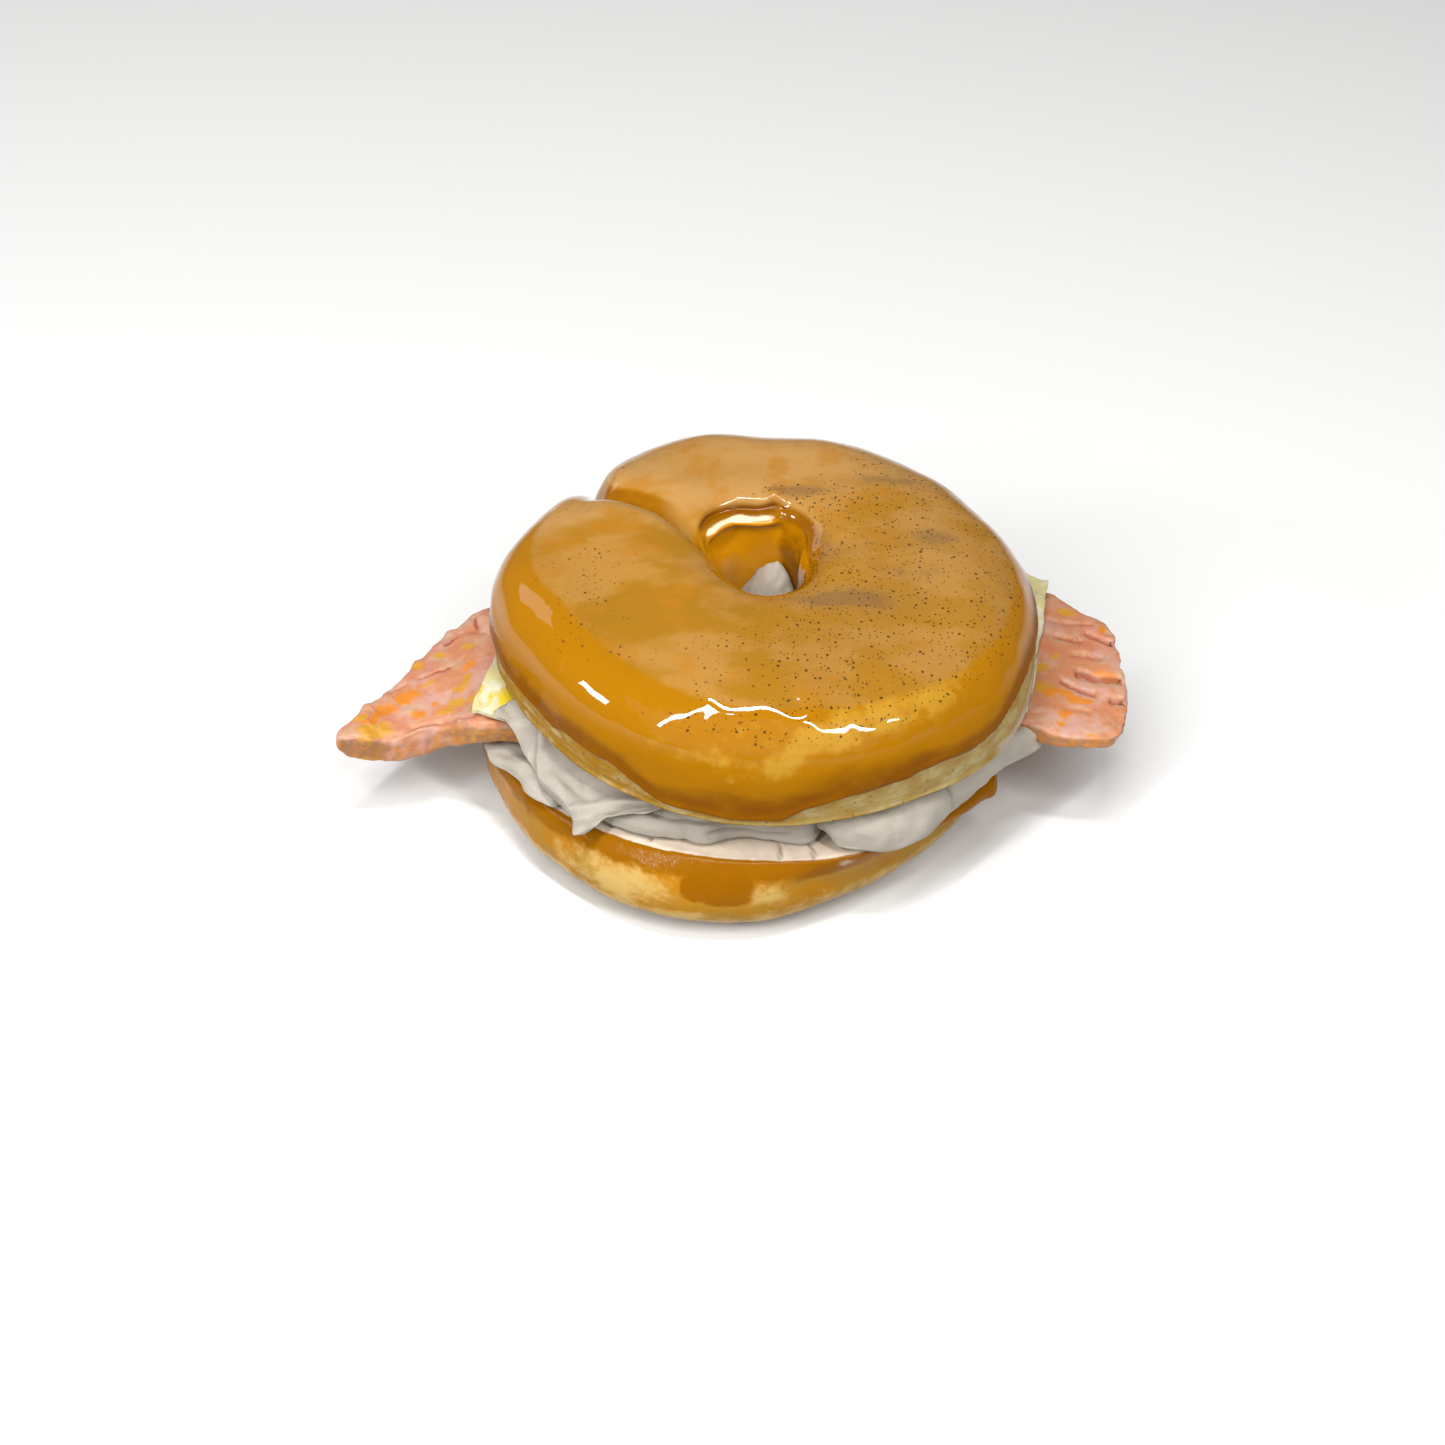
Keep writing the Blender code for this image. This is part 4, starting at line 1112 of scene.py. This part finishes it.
def build_lower_cream(material):
    """Lower cream: a spread under the fish with a tongue at the left and a thick front edge."""
    lift, x, y = spread_grid(LOWER_CREAM_CENTRE, LOWER_CREAM_EDGE, 41)
    middle = SPREAD_FLOOR + LOWER_CREAM_WAIST
    z = middle + lift * np.where(lift > 0, lower_cream_top(x, y) - middle, LOWER_CREAM_WAIST)
    radius = np.hypot(x - LOWER_CREAM_CENTRE[0], y - LOWER_CREAM_CENTRE[1])
    relief = 0.45 * fractal(x, y, z, 9, 43, 4) + 0.3 * lattice_noise(x * 0.5, y, z * 2.5, 4.5, 47)
    relief = relief * smooth(radius, 36, 44) * smooth(lift, -1, -0.6)
    tear = groove(x, y, TONGUE_TEAR, 0.45) * (y < -30)
    crease = 0
    for start, end, height, slope in SLAB_CREASES:
        span = smooth(x, start, start + 5) * smooth(x, end, end - 5)
        bent = z - height - 0.35 * np.sin((x - start) / slope)
        crease = np.maximum(crease, span * hill(bent, 0, 0.35))
    crease = np.maximum(crease * (y < -38), tear)
    x, y, z = pushed(x, y, z, relief - 0.8 * crease, wrapped=False)
    # Painted shade in the creases and the tear.
    fields = {"stain": 0, "crease": 0.7 * crease}
    return add_piece("cream_lower_spread", x, y, z, fields, material, "cream_lower",
                     wrapped=False)


def build_right_lobe(material):
    """Right lobe: a fat roll of cream bent round the rim, from the front to the fish.

    Its section is a superellipse, squarer on top, that shrinks bluntly at both ends.
    """
    rows, around = LOBE_GRID
    along = np.linspace(90, -90, rows)[:, None]
    section = np.arange(around)[None, :] * 360 / around
    along, section = np.broadcast_arrays(along, section)
    turn = (np.sin(np.radians(along)) + 1) / 2
    slant = LOBE_SLANT * (1 - turn) ** 3 * (1 - np.sin(np.radians(section))) / 2
    angle = np.radians(LOBE_ANGLES[0] + (LOBE_ANGLES[1] - LOBE_ANGLES[0]) * turn + slant)
    size = np.maximum(np.cos(np.radians(along)), 0) ** LOBE_BLUNT
    cosine = np.cos(np.radians(section))
    sine = np.sin(np.radians(section))
    outer = open_curve(LOBE_OUTER, turn)
    inner = open_curve(LOBE_INNER, turn)
    square = np.where(sine > 0, LOBE_SQUARE_TOP, LOBE_SQUARE_FOOT)
    across = size * np.sign(cosine) * np.abs(cosine) ** square
    radius = (outer + inner) / 2 + (outer - inner) / 2 * across
    x = UPPER_CENTRE[0] + radius * np.cos(angle)
    y = UPPER_CENTRE[1] + radius * np.sin(angle)
    waist = SPREAD_FLOOR + LOBE_WAIST
    half = np.where(sine > 0, upper_cut(y) - GAP - waist, LOBE_WAIST)
    half = half * (1 - 0.3 * smooth(turn, 0.75, 1))
    z = waist + half * size * np.sign(sine) * np.abs(sine) ** LOBE_SQUARE_TOP
    high = smooth(sine, -0.2, 0.4)
    crack = groove(x, y, LOBE_CRACK, 0.4) * high
    fold = groove(x, y, LOBE_FOLD, 1.6) * high
    relief = 0.5 * fractal(x, y, z, 10, 53, 4) + 0.3 * lattice_noise(x * 0.6, y * 1.4, z, 4, 57)
    x, y, z = pushed(x, y, z, relief - 0.3 - 0.9 * crack - 0.5 * fold, wrapped=False)
    # Painted shade in the crack.
    fields = {"stain": 0.6 * smooth(turn, 0.80, 0.99), "crease": 0.8 * crack}
    return add_piece("cream_lobe_roll", x, y, z, fields, material, "cream_lobe",
                     wrapped=False)


def build_upper_cream(material):
    """Upper cream: a disc under the upper half that droops to a pointed flap, front left.

    A small heap with bubbles on it shows in the hole.
    """
    lift, x, y = spread_grid(UPPER_HOLE_CENTRE, UPPER_CREAM_EDGE, 63)
    radius = np.hypot(x - UPPER_HOLE_CENTRE[0], y - UPPER_HOLE_CENTRE[1])
    angle = bearing_from(x, y, UPPER_HOLE_CENTRE)
    left = np.exp(-(turned(angle, DROOP_ANGLE) / DROOP_WIDTH) ** 4)
    left = left * smooth(y, *DROOP_FROM_Y)
    top = upper_cut(y) - GAP
    for depth, start, end in TOP_DROOPS:
        top = top - left * depth * smooth(radius, start, end)
    at_x, at_y, height, reach = HOLE_CREAM
    heap = np.clip(1 - np.hypot(x - at_x, y - at_y) / reach, 0, 1)
    bubbles = 0.45 * lattice_noise(x, y, 0 * x, 1.5, 69) * smooth(heap, 0, 0.3)
    heap = height * (smooth(heap, -0.6, 1) - HEAP_FOOT) + bubbles
    top = top + heap * smooth(radius, 12, 9) * smooth(x, 10.5, 7.5)
    depth, start, end = FLOOR_DROOP
    floor = SLICE_TOP + GAP - left * depth * smooth(radius, start, end)
    depth, start, end = FLAP_DROOP
    tip = hill(turned(angle, FLAP_ANGLE), 0, FLAP_DROOP_WIDTH)
    floor = np.minimum(floor - depth * tip * smooth(radius, start, end), top - THINNEST_CREAM)
    z = (top + floor) / 2 + (top - floor) / 2 * lift
    rim = smooth(radius, 44, 50) * smooth(lift, -0.6, 0.3)
    relief = rim * (0.4 * fractal(x, y, z, 8, 61, 4) + 0.25 * lattice_noise(x, y, z, 3, 67))
    crease = 0
    for line, width, height in CREAM_RIDGES:
        mark = groove(x, y, line, width) * rim
        relief = relief + height * mark
        crease = np.maximum(crease, mark * (height < -1))
    relief = relief + LAP_HEIGHT * rim * lap(x, y, LAP_LINE, LAP_REACH)
    # Painted shadow under the lapped edge.
    crease = np.maximum(crease, rim * hill(path_side(x, y, LAP_LINE), -0.3, 0.4))
    x, y, z = pushed(x, y, z, relief, wrapped=False)
    fields = {"stain": 0, "crease": 0.45 * crease}
    return add_piece("cream_upper_spread", x, y, z, fields, material, "cream_upper",
                     wrapped=False)


# ---------------------------------------------------------------------------
# Fish and slice
# ---------------------------------------------------------------------------

FISH_GRID = (310, 220)
SLICE_GRID = (240, 160)

# Cuts in the fish's top, as (points, depth, width), and knobs on its edges.
FISH_CUTS = (
    (((66.5, 9.2), (69, 8.7), (72.1, 8)), 0.9, 0.7),
    (((74.1, 10.9), (78.8, 7.9), (83, 7.4)), 1.2, 0.8),
    (((70.8, -2.7), (74.5, -4.4), (78.4, -4.6), (83, -5.2)), 2.4, 0.9),
    (((66.5, -5.4), (70.2, -8), (73.4, -9.3)), 1.2, 0.6), (((77, -11.2), (83, -11.8)), 1.4, 0.9),
    (((70, 3.4), (76, 2.6)), 0.7, 0.7), (((63, 15.5), (69, 14.2), (75, 14.6)), 0.7, 0.6),
    (((66, -13.6), (71, -15)), 0.5, 0.7), (((-64.2, 17.6), (-63.6, 13.6)), 1, 0.6),
    (((-67, 14.5), (-61.5, 11)), 0.7, 0.6), (((-84.5, -4.5), (-79, -1)), 0.5, 0.7),
    (((-75.6, 1), (-69.3, 3.5)), 0.6, 0.6), (((-76, -14.4), (-69, -13.6), (-62, -16)), 0.6, 0.7))
FISH_KNOBS = (
    (-83.6, -2.6, 1.5, 1), (-86.8, -8, 1.3, 1), (-63.2, 15.6, 2.6, 0.9), (-73, -16.6, 1.6, 0.7),
    (-69.4, -16.2, 1.3, 0.6), (-65.1, -18, 1.4, 0.6), (-77.5, 7.8, 1.6, 0.8),
    (-70.5, 17, 1.6, 0.7), (72.5, 5.5, 2.4, 0.5), (77, 0, 2.2, 0.6), (76, -8, 2.2, 0.6))

# Painted strokes: from (x, y) to (x, y) and half their width.
ORANGE_STROKES = (
    (-79.4, -5.6, -76.9, -4.6, 1.3), (-81.8, -10.2, -80.6, -9.4, 1.3),
    (-83.4, -9.9, -84.2, -13.2, 0.8), (-75.6, -10.8, -74.3, -10.2, 0.8), (-64.9, 2, -63.9, 2.6, 1),
    (-72, -8.2, -71.6, -7.7, 0.5), (-86.5, -14, -85.8, -13.4, 0.7),
    (65.6, -15.5, 66.6, -15.1, 0.8), (64.3, -18.6, 65.1, -18.4, 0.6),
    (70.6, -22, 71.6, -21.8, 0.5), (58.6, -21.8, 59.4, -21.4, 0.7), (62.7, -9.4, 64.2, -8.5, 1.3),
    (65.6, -9.9, 67, -9.5, 1), (68, -11.6, 69.4, -11.4, 0.9), (71.2, -12.4, 72.6, -12, 0.8),
    (74.6, -3.2, 77.8, -3.6, 0.6), (78, 12.2, 78.4, 13, 0.8))
GOLD_STROKES = (
    (-64.6, -1.7, -66.2, -4.9, 1), (-67.4, -9, -66, -9.6, 1.1), (-69.6, -10.6, -68.4, -10.9, 0.9),
    (-77.2, 6.2, -76, 5.6, 0.9), (-66.2, 8.8, -65.2, 8.2, 0.9), (-62.4, -10.4, -61.4, -12.8, 0.9),
    (-82, -15.4, -85.6, -16.6, 1.5), (64.6, 2, 65.5, 2.4, 0.7), (61.6, -2, 62.6, -1.4, 0.8),
    (60.8, -7.4, 63.4, -7.2, 1.3), (69.2, 18.8, 70.8, 18, 0.8), (-72.6, 9, -71.4, 8.4, 0.6),
    (-88, -13, -87, -11.6, 0.8), (-73.8, -2, -72.6, -1.2, 0.6))
RED_STROKES = (
    (-64.1, 17.2, -63.6, 13.8, 0.6), (-75.4, 1.1, -69.6, 3.4, 0.5), (67.5, -6.4, 70.4, -8.2, 0.5),
    (70.4, -8.2, 73, -9.2, 0.5), (72.4, -3.6, 74.6, -4.6, 0.5), (74.4, 10.6, 77.2, 8.9, 0.5),
    (68.8, 8.7, 72.1, 8, 0.4), (-72, 12, -68.6, 13.6, 0.5))


def slab_grid(along, around, power, end_length, ends, end_power=4, crowding=0):
    """A long slab with rounded edges: X, and two shares across its section.

    The section runs round a square and is drawn in to a superellipse of the given power.
    Near both ends it shrinks to a point as another superellipse, over end_length.  Crowding
    draws the rows towards the two ends.
    """
    quarter = np.radians(np.linspace(0, 90, along // 6))[1:]
    shrink = np.cos(quarter) ** (2 / end_power)
    past = np.sin(quarter) ** (2 / end_power) * end_length
    low, high = ends
    share = np.linspace(0, 1, along)
    share = share - crowding * np.sin(2 * math.pi * share) / (2 * math.pi)
    body = low + end_length + share * (high - low - 2 * end_length)
    x = np.concatenate(((low + end_length - past)[::-1], body, high - end_length + past))
    scale = np.concatenate((shrink[::-1], np.ones(along), shrink))
    share = np.arange(around) * 8 / around
    a = np.clip(np.abs((share - 1) % 8 - 4) - 2, -1, 1)
    b = np.clip(np.abs((share - 3) % 8 - 4) - 2, -1, 1)
    norm = (np.abs(a) ** power + np.abs(b) ** power) ** (1 / power)
    x, a = np.broadcast_arrays(x[:, None], (a / norm)[None, :])
    scale = scale[:, None]
    return x, a * scale, np.broadcast_to((b / norm)[None, :], x.shape) * scale


def strokes_at(x, y, strokes):
    """Highest of several strokes' fields: 1 along its middle, 0 at its edge, at least -1."""
    fields = [1 - np.abs(path_side(x, y, (stroke[:2], stroke[2:4]))) / stroke[4] / 1.6
              for stroke in strokes]
    return np.clip(np.max(fields, axis=0), -1, 1)


def build_fish(settings):
    """Fish: a thick slab with a drooping point at the left and a torn, gashed end at the right.

    Its faces are broken up by noise at several scales, cuts run into it, and knobs stand on
    its edges; the right end is bitten back by noise that only takes away.
    """
    x, a, b = slab_grid(*FISH_GRID, 4.6, 2.6, FISH_ENDS, 5, 0.72)
    front = open_curve(FISH_FRONT, x)
    back = open_curve(FISH_BACK, x)
    shown = np.maximum(smooth(x, -50, -56), smooth(x, 54, 60))
    edge = 0.35 * fractal(x, 0 * x, b * 2.5, 6, 75, 4) * shown * smooth(np.abs(a), 0.5, 1)
    y = (front + back) / 2 + (back - front) / 2 * a + edge * np.sign(a)
    half = (FISH_THICKNESS + open_curve(FISH_SWELL, x)) / 2
    z = FISH_TOP + open_curve(FISH_SAG, x) - half + half * b
    bitten = np.abs(fractal(y, z * 1.6, 0 * x, 7, 77, 3))
    x = x - smooth(x, 70, 81) * np.minimum(1.2 * bitten, 2)
    on_top = smooth(b, 0.3, 0.9)
    cuts = sum(depth * groove(x, y, line, width) for line, depth, width in FISH_CUTS)
    flakes = smooth(x, 60, 66) * 0.08 * lattice_noise(x * 0.35, y, z, 2.2, 79)
    rough = (0.5 - 0.2 * (x > 0)) * fractal(x, y, z, 9, 71, 4)
    rough = rough + 0.12 * lattice_noise(x, y, z, 1.6, 83)
    crumbs = hill(a, -0.93, 0.05) * hill(b, 0.9, 0.25) * (x < 0)
    rough = rough + crumbs * (0.5 + 0.9 * lattice_noise(x, y, z, 2.4, 91))
    relief = shown * (rough + flakes + knobs(x, y, FISH_KNOBS) - 0.15 - on_top * cuts)
    warp_x = x + 0.9 * fractal(x, y, z, 3, 85, 3)
    warp_y = y + 0.9 * fractal(x, y, z, 3, 87, 3)
    # Side face: its ochre tone, darkened further as painted shade.
    side = smooth(a, -0.86, -0.97) * smooth(b, 0.9, 0.4)
    side = side * np.where(x < 0, 0.5 + 0.6 * smooth(x, -74, -64), 0.8)
    side = side + 0.5 * smooth(a, -0.86, -0.97) * smooth(x, -79, -84)
    # The cuts' dark colour is partly painted shade.
    fields = {"side": side, "shown": shown * smooth(b, -0.9, -0.5), "gash": cuts * on_top,
              "orange": strokes_at(warp_x, warp_y, ORANGE_STROKES) * on_top,
              "gold": strokes_at(warp_x, warp_y, GOLD_STROKES) * np.maximum(on_top, x < -80),
              "red": strokes_at(warp_x, warp_y, RED_STROKES) * on_top}
    x, y, z = pushed(x, y, z, relief, wrapped=False)
    return add_piece("salmon_slab", x, y, z, fields, pink_fish(settings), "salmon",
                     wrapped=False)


def build_slice(settings):
    """Yellow slice: a thin four-cornered sheet on the fish, a corner showing at each side.

    Its place between the corners is their mean, weighted by nearness.  It sags with the fish,
    its edges are worn and bitten, and the corners that show are bent.
    """
    across, a, b = slab_grid(*SLICE_GRID, 8, 0.01, (-1, 1), 8, 0.6)
    shares = ((1 - across) * (1 - a), (1 + across) * (1 - a), (1 + across) * (1 + a),
              (1 - across) * (1 + a))
    x, y = (sum(share / 4 * corner[axis] for share, corner in zip(shares, SLICE_CORNERS))
            for axis in (0, 1))
    x = x + 0.5 * lattice_noise(x, y, 0 * x, 5, 89) * smooth(np.abs(across), 0.8, 1)
    y = y - 3 * hill(x, -54, 4.5) * smooth(y, -9, -16)
    y = y + 3.6 * hill(x, 59.5, 4) * smooth(y, 14, 24)
    sag = open_curve(FISH_SAG, x)
    z = (SLICE_FLOOR + SLICE_TOP) / 2 + sag + SLICE_THICKNESS / 2 * b
    shown = np.maximum(smooth(x, -48, -54), smooth(x, 52, 58))
    fold = fractal(x, y, 0 * x, 7, 81, 3)
    z = z + shown * (0.7 + 0.9 * fold) + shown * smooth(b, -1, 0.4) * 0.5
    z = z - 1.3 * smooth(y, -12, -18) * smooth(x, -50, -60)
    bright = 0.8 * hill(y + 0.5 * x, -42, 3.2) * (x < 0) + 0.5 * hill(x, -53, 2.5)
    bright = bright + 0.2 * hill(x, 60.5, 1.6)
    return add_piece("cheese_sheet", x, y, z, {"bright": bright}, yellow_clay(settings),
                     "cheese_slice", wrapped=False)


# ---------------------------------------------------------------------------
# Stage
# ---------------------------------------------------------------------------

VIEW_TARGET = Vector((-2.5, -16.25, 25.0)) * MM
FLOOR_HALF = 2.0

# Each panel: name, elevation and azimuth from the object (0 behind it, 90 to its left),
# distance and size (across, along) in metres, radiance, and turn in its own plane.  Three
# thin bars make an arch.
PANELS = (
    ("arch_top", 82, 165, 1, (0.34, 0.072), 76, 0),
    ("arch_left", 51, 138, 1, (0.048, 0.76), 76, 0),
    ("arch_right", 51, -143, 1, (0.045, 0.64), 76, 17),
    ("left_spot", 25, 110, 1, (0.19, 0.14), 34, 0),
    ("left_window", 34, 50, 1.3, (0.35, 0.45), 1.9, 0),
    ("front_fill", 36, 180, 1.7, (3.2, 2.2), 0.38, 0))
WORLD_STRENGTH = 0.15


def add_panel(name, elevation, azimuth, distance, size, radiance, roll):
    """Area light on a sphere round the object, facing it; its power is radiance * pi * area."""
    light = bpy.data.lights.new(name, "AREA")
    light.shape = "RECTANGLE"
    light.size, light.size_y = size
    light.energy = radiance * math.pi * size[0] * size[1]
    lamp = bpy.data.objects.new(name, light)
    high = math.radians(elevation)
    turn = math.radians(azimuth)
    way = Vector((-math.sin(turn) * math.cos(high), math.cos(turn) * math.cos(high),
                  math.sin(high)))
    lamp.location = VIEW_TARGET + way * distance
    facing = way.to_track_quat("Z", "Y").to_matrix()
    facing = facing @ Matrix.Rotation(math.radians(roll), 3, "Z")
    lamp.rotation_euler = facing.to_euler()
    bpy.context.scene.collection.objects.link(lamp)
    return lamp


def build_stage(settings):
    """Pale floor, soft panels of light and the camera at the picture's angle."""
    scene = bpy.context.scene
    recipe = Recipe("floor", Roughness=0.9, Specular_IOR_Level=0.1)
    recipe.shader.inputs["Base Color"].default_value = (*settings.floor, 1.0)
    mesh = bpy.data.meshes.new("floor")
    half = FLOOR_HALF
    corners = [(-half, -half, 0.0), (half, -half, 0.0), (half, half, 0.0), (-half, half, 0.0)]
    mesh.from_pydata(corners, [], [(0, 1, 2, 3)])
    mesh.materials.append(recipe.material)
    floor = bpy.data.objects.new("floor", mesh)
    scene.collection.objects.link(floor)

    world = bpy.data.worlds.new("studio")
    world.use_nodes = True
    background = world.node_tree.nodes["Background"]
    background.inputs["Color"].default_value = (1.0, 1.0, 1.0, 1.0)
    background.inputs["Strength"].default_value = WORLD_STRENGTH
    scene.world = world
    for panel in PANELS:
        add_panel(*panel)

    camera = bpy.data.cameras.new("camera")
    camera.lens = settings.lens
    camera.sensor_width = 36.0
    camera.clip_start = 0.01
    camera.clip_end = 10.0
    holder = bpy.data.objects.new("camera", camera)
    rise = settings.camera_height
    back = Vector((0.0, -math.cos(rise), math.sin(rise)))
    holder.location = VIEW_TARGET + back * settings.camera_distance
    holder.rotation_euler = (math.pi / 2.0 - rise, 0.0, 0.0)
    scene.collection.objects.link(holder)
    scene.camera = holder
    scene.view_settings.view_transform = "Standard"


# ---------------------------------------------------------------------------
# Operators and panel
# ---------------------------------------------------------------------------

class BAGEL_OT_halves(bpy.types.Operator):
    """Build the two glazed halves of the bagel"""
    bl_idname = "bagel.halves"
    bl_label = "Bagel halves"

    def execute(self, context):
        glaze = context.scene.bagel_glaze
        build_lower_half(glaze)
        build_upper_half(glaze)
        return {"FINISHED"}


class BAGEL_OT_cream(bpy.types.Operator):
    """Build the three masses of cream"""
    bl_idname = "bagel.cream"
    bl_label = "Cream"

    def execute(self, context):
        material = white_clay(context.scene.bagel_clay)
        build_lower_cream(material)
        build_right_lobe(material)
        build_upper_cream(material)
        return {"FINISHED"}


class BAGEL_OT_fish(bpy.types.Operator):
    """Build the slab of fish"""
    bl_idname = "bagel.fish"
    bl_label = "Fish"

    def execute(self, context):
        build_fish(context.scene.bagel_clay)
        return {"FINISHED"}


class BAGEL_OT_slice(bpy.types.Operator):
    """Build the thin yellow slice"""
    bl_idname = "bagel.slice"
    bl_label = "Slice"

    def execute(self, context):
        build_slice(context.scene.bagel_clay)
        return {"FINISHED"}


class BAGEL_OT_stage(bpy.types.Operator):
    """Build the floor, the lights and the camera"""
    bl_idname = "bagel.stage"
    bl_label = "Stage"

    def execute(self, context):
        build_stage(context.scene.bagel_stage)
        return {"FINISHED"}


class BAGEL_PT_panel(bpy.types.Panel):
    """Sidebar panel with the sandwich's pieces and settings"""
    bl_idname = "BAGEL_PT_panel"
    bl_label = "Bagel sandwich"
    bl_space_type = "VIEW_3D"
    bl_region_type = "UI"
    bl_category = "Bagel"

    def draw(self, context):
        layout = self.layout
        for operator in OPERATORS:
            layout.operator(operator.bl_idname)
        for name in GROUPS:
            group = getattr(context.scene, name)
            box = layout.box()
            for key in group.__annotations__:
                box.prop(group, key)


GROUPS = {"bagel_glaze": GlazeSettings, "bagel_clay": ClaySettings,
          "bagel_stage": StageSettings}
OPERATORS = (BAGEL_OT_halves, BAGEL_OT_cream, BAGEL_OT_fish, BAGEL_OT_slice, BAGEL_OT_stage)
CLASSES = (*GROUPS.values(), *OPERATORS, BAGEL_PT_panel)


def register():
    """Register the classes and hang the settings on the scene."""
    for cls in CLASSES:
        bpy.utils.register_class(cls)
    for name, group in GROUPS.items():
        setattr(bpy.types.Scene, name, bpy.props.PointerProperty(type=group))


def unregister():
    """Take the settings and the classes away again."""
    for name in GROUPS:
        delattr(bpy.types.Scene, name)
    for cls in reversed(CLASSES):
        bpy.utils.unregister_class(cls)


def main():
    """Register, and build every piece in order."""
    register()
    bpy.ops.bagel.halves()
    bpy.ops.bagel.cream()
    bpy.ops.bagel.fish()
    bpy.ops.bagel.slice()
    bpy.ops.bagel.stage()


if __name__ == "__main__":
    main()
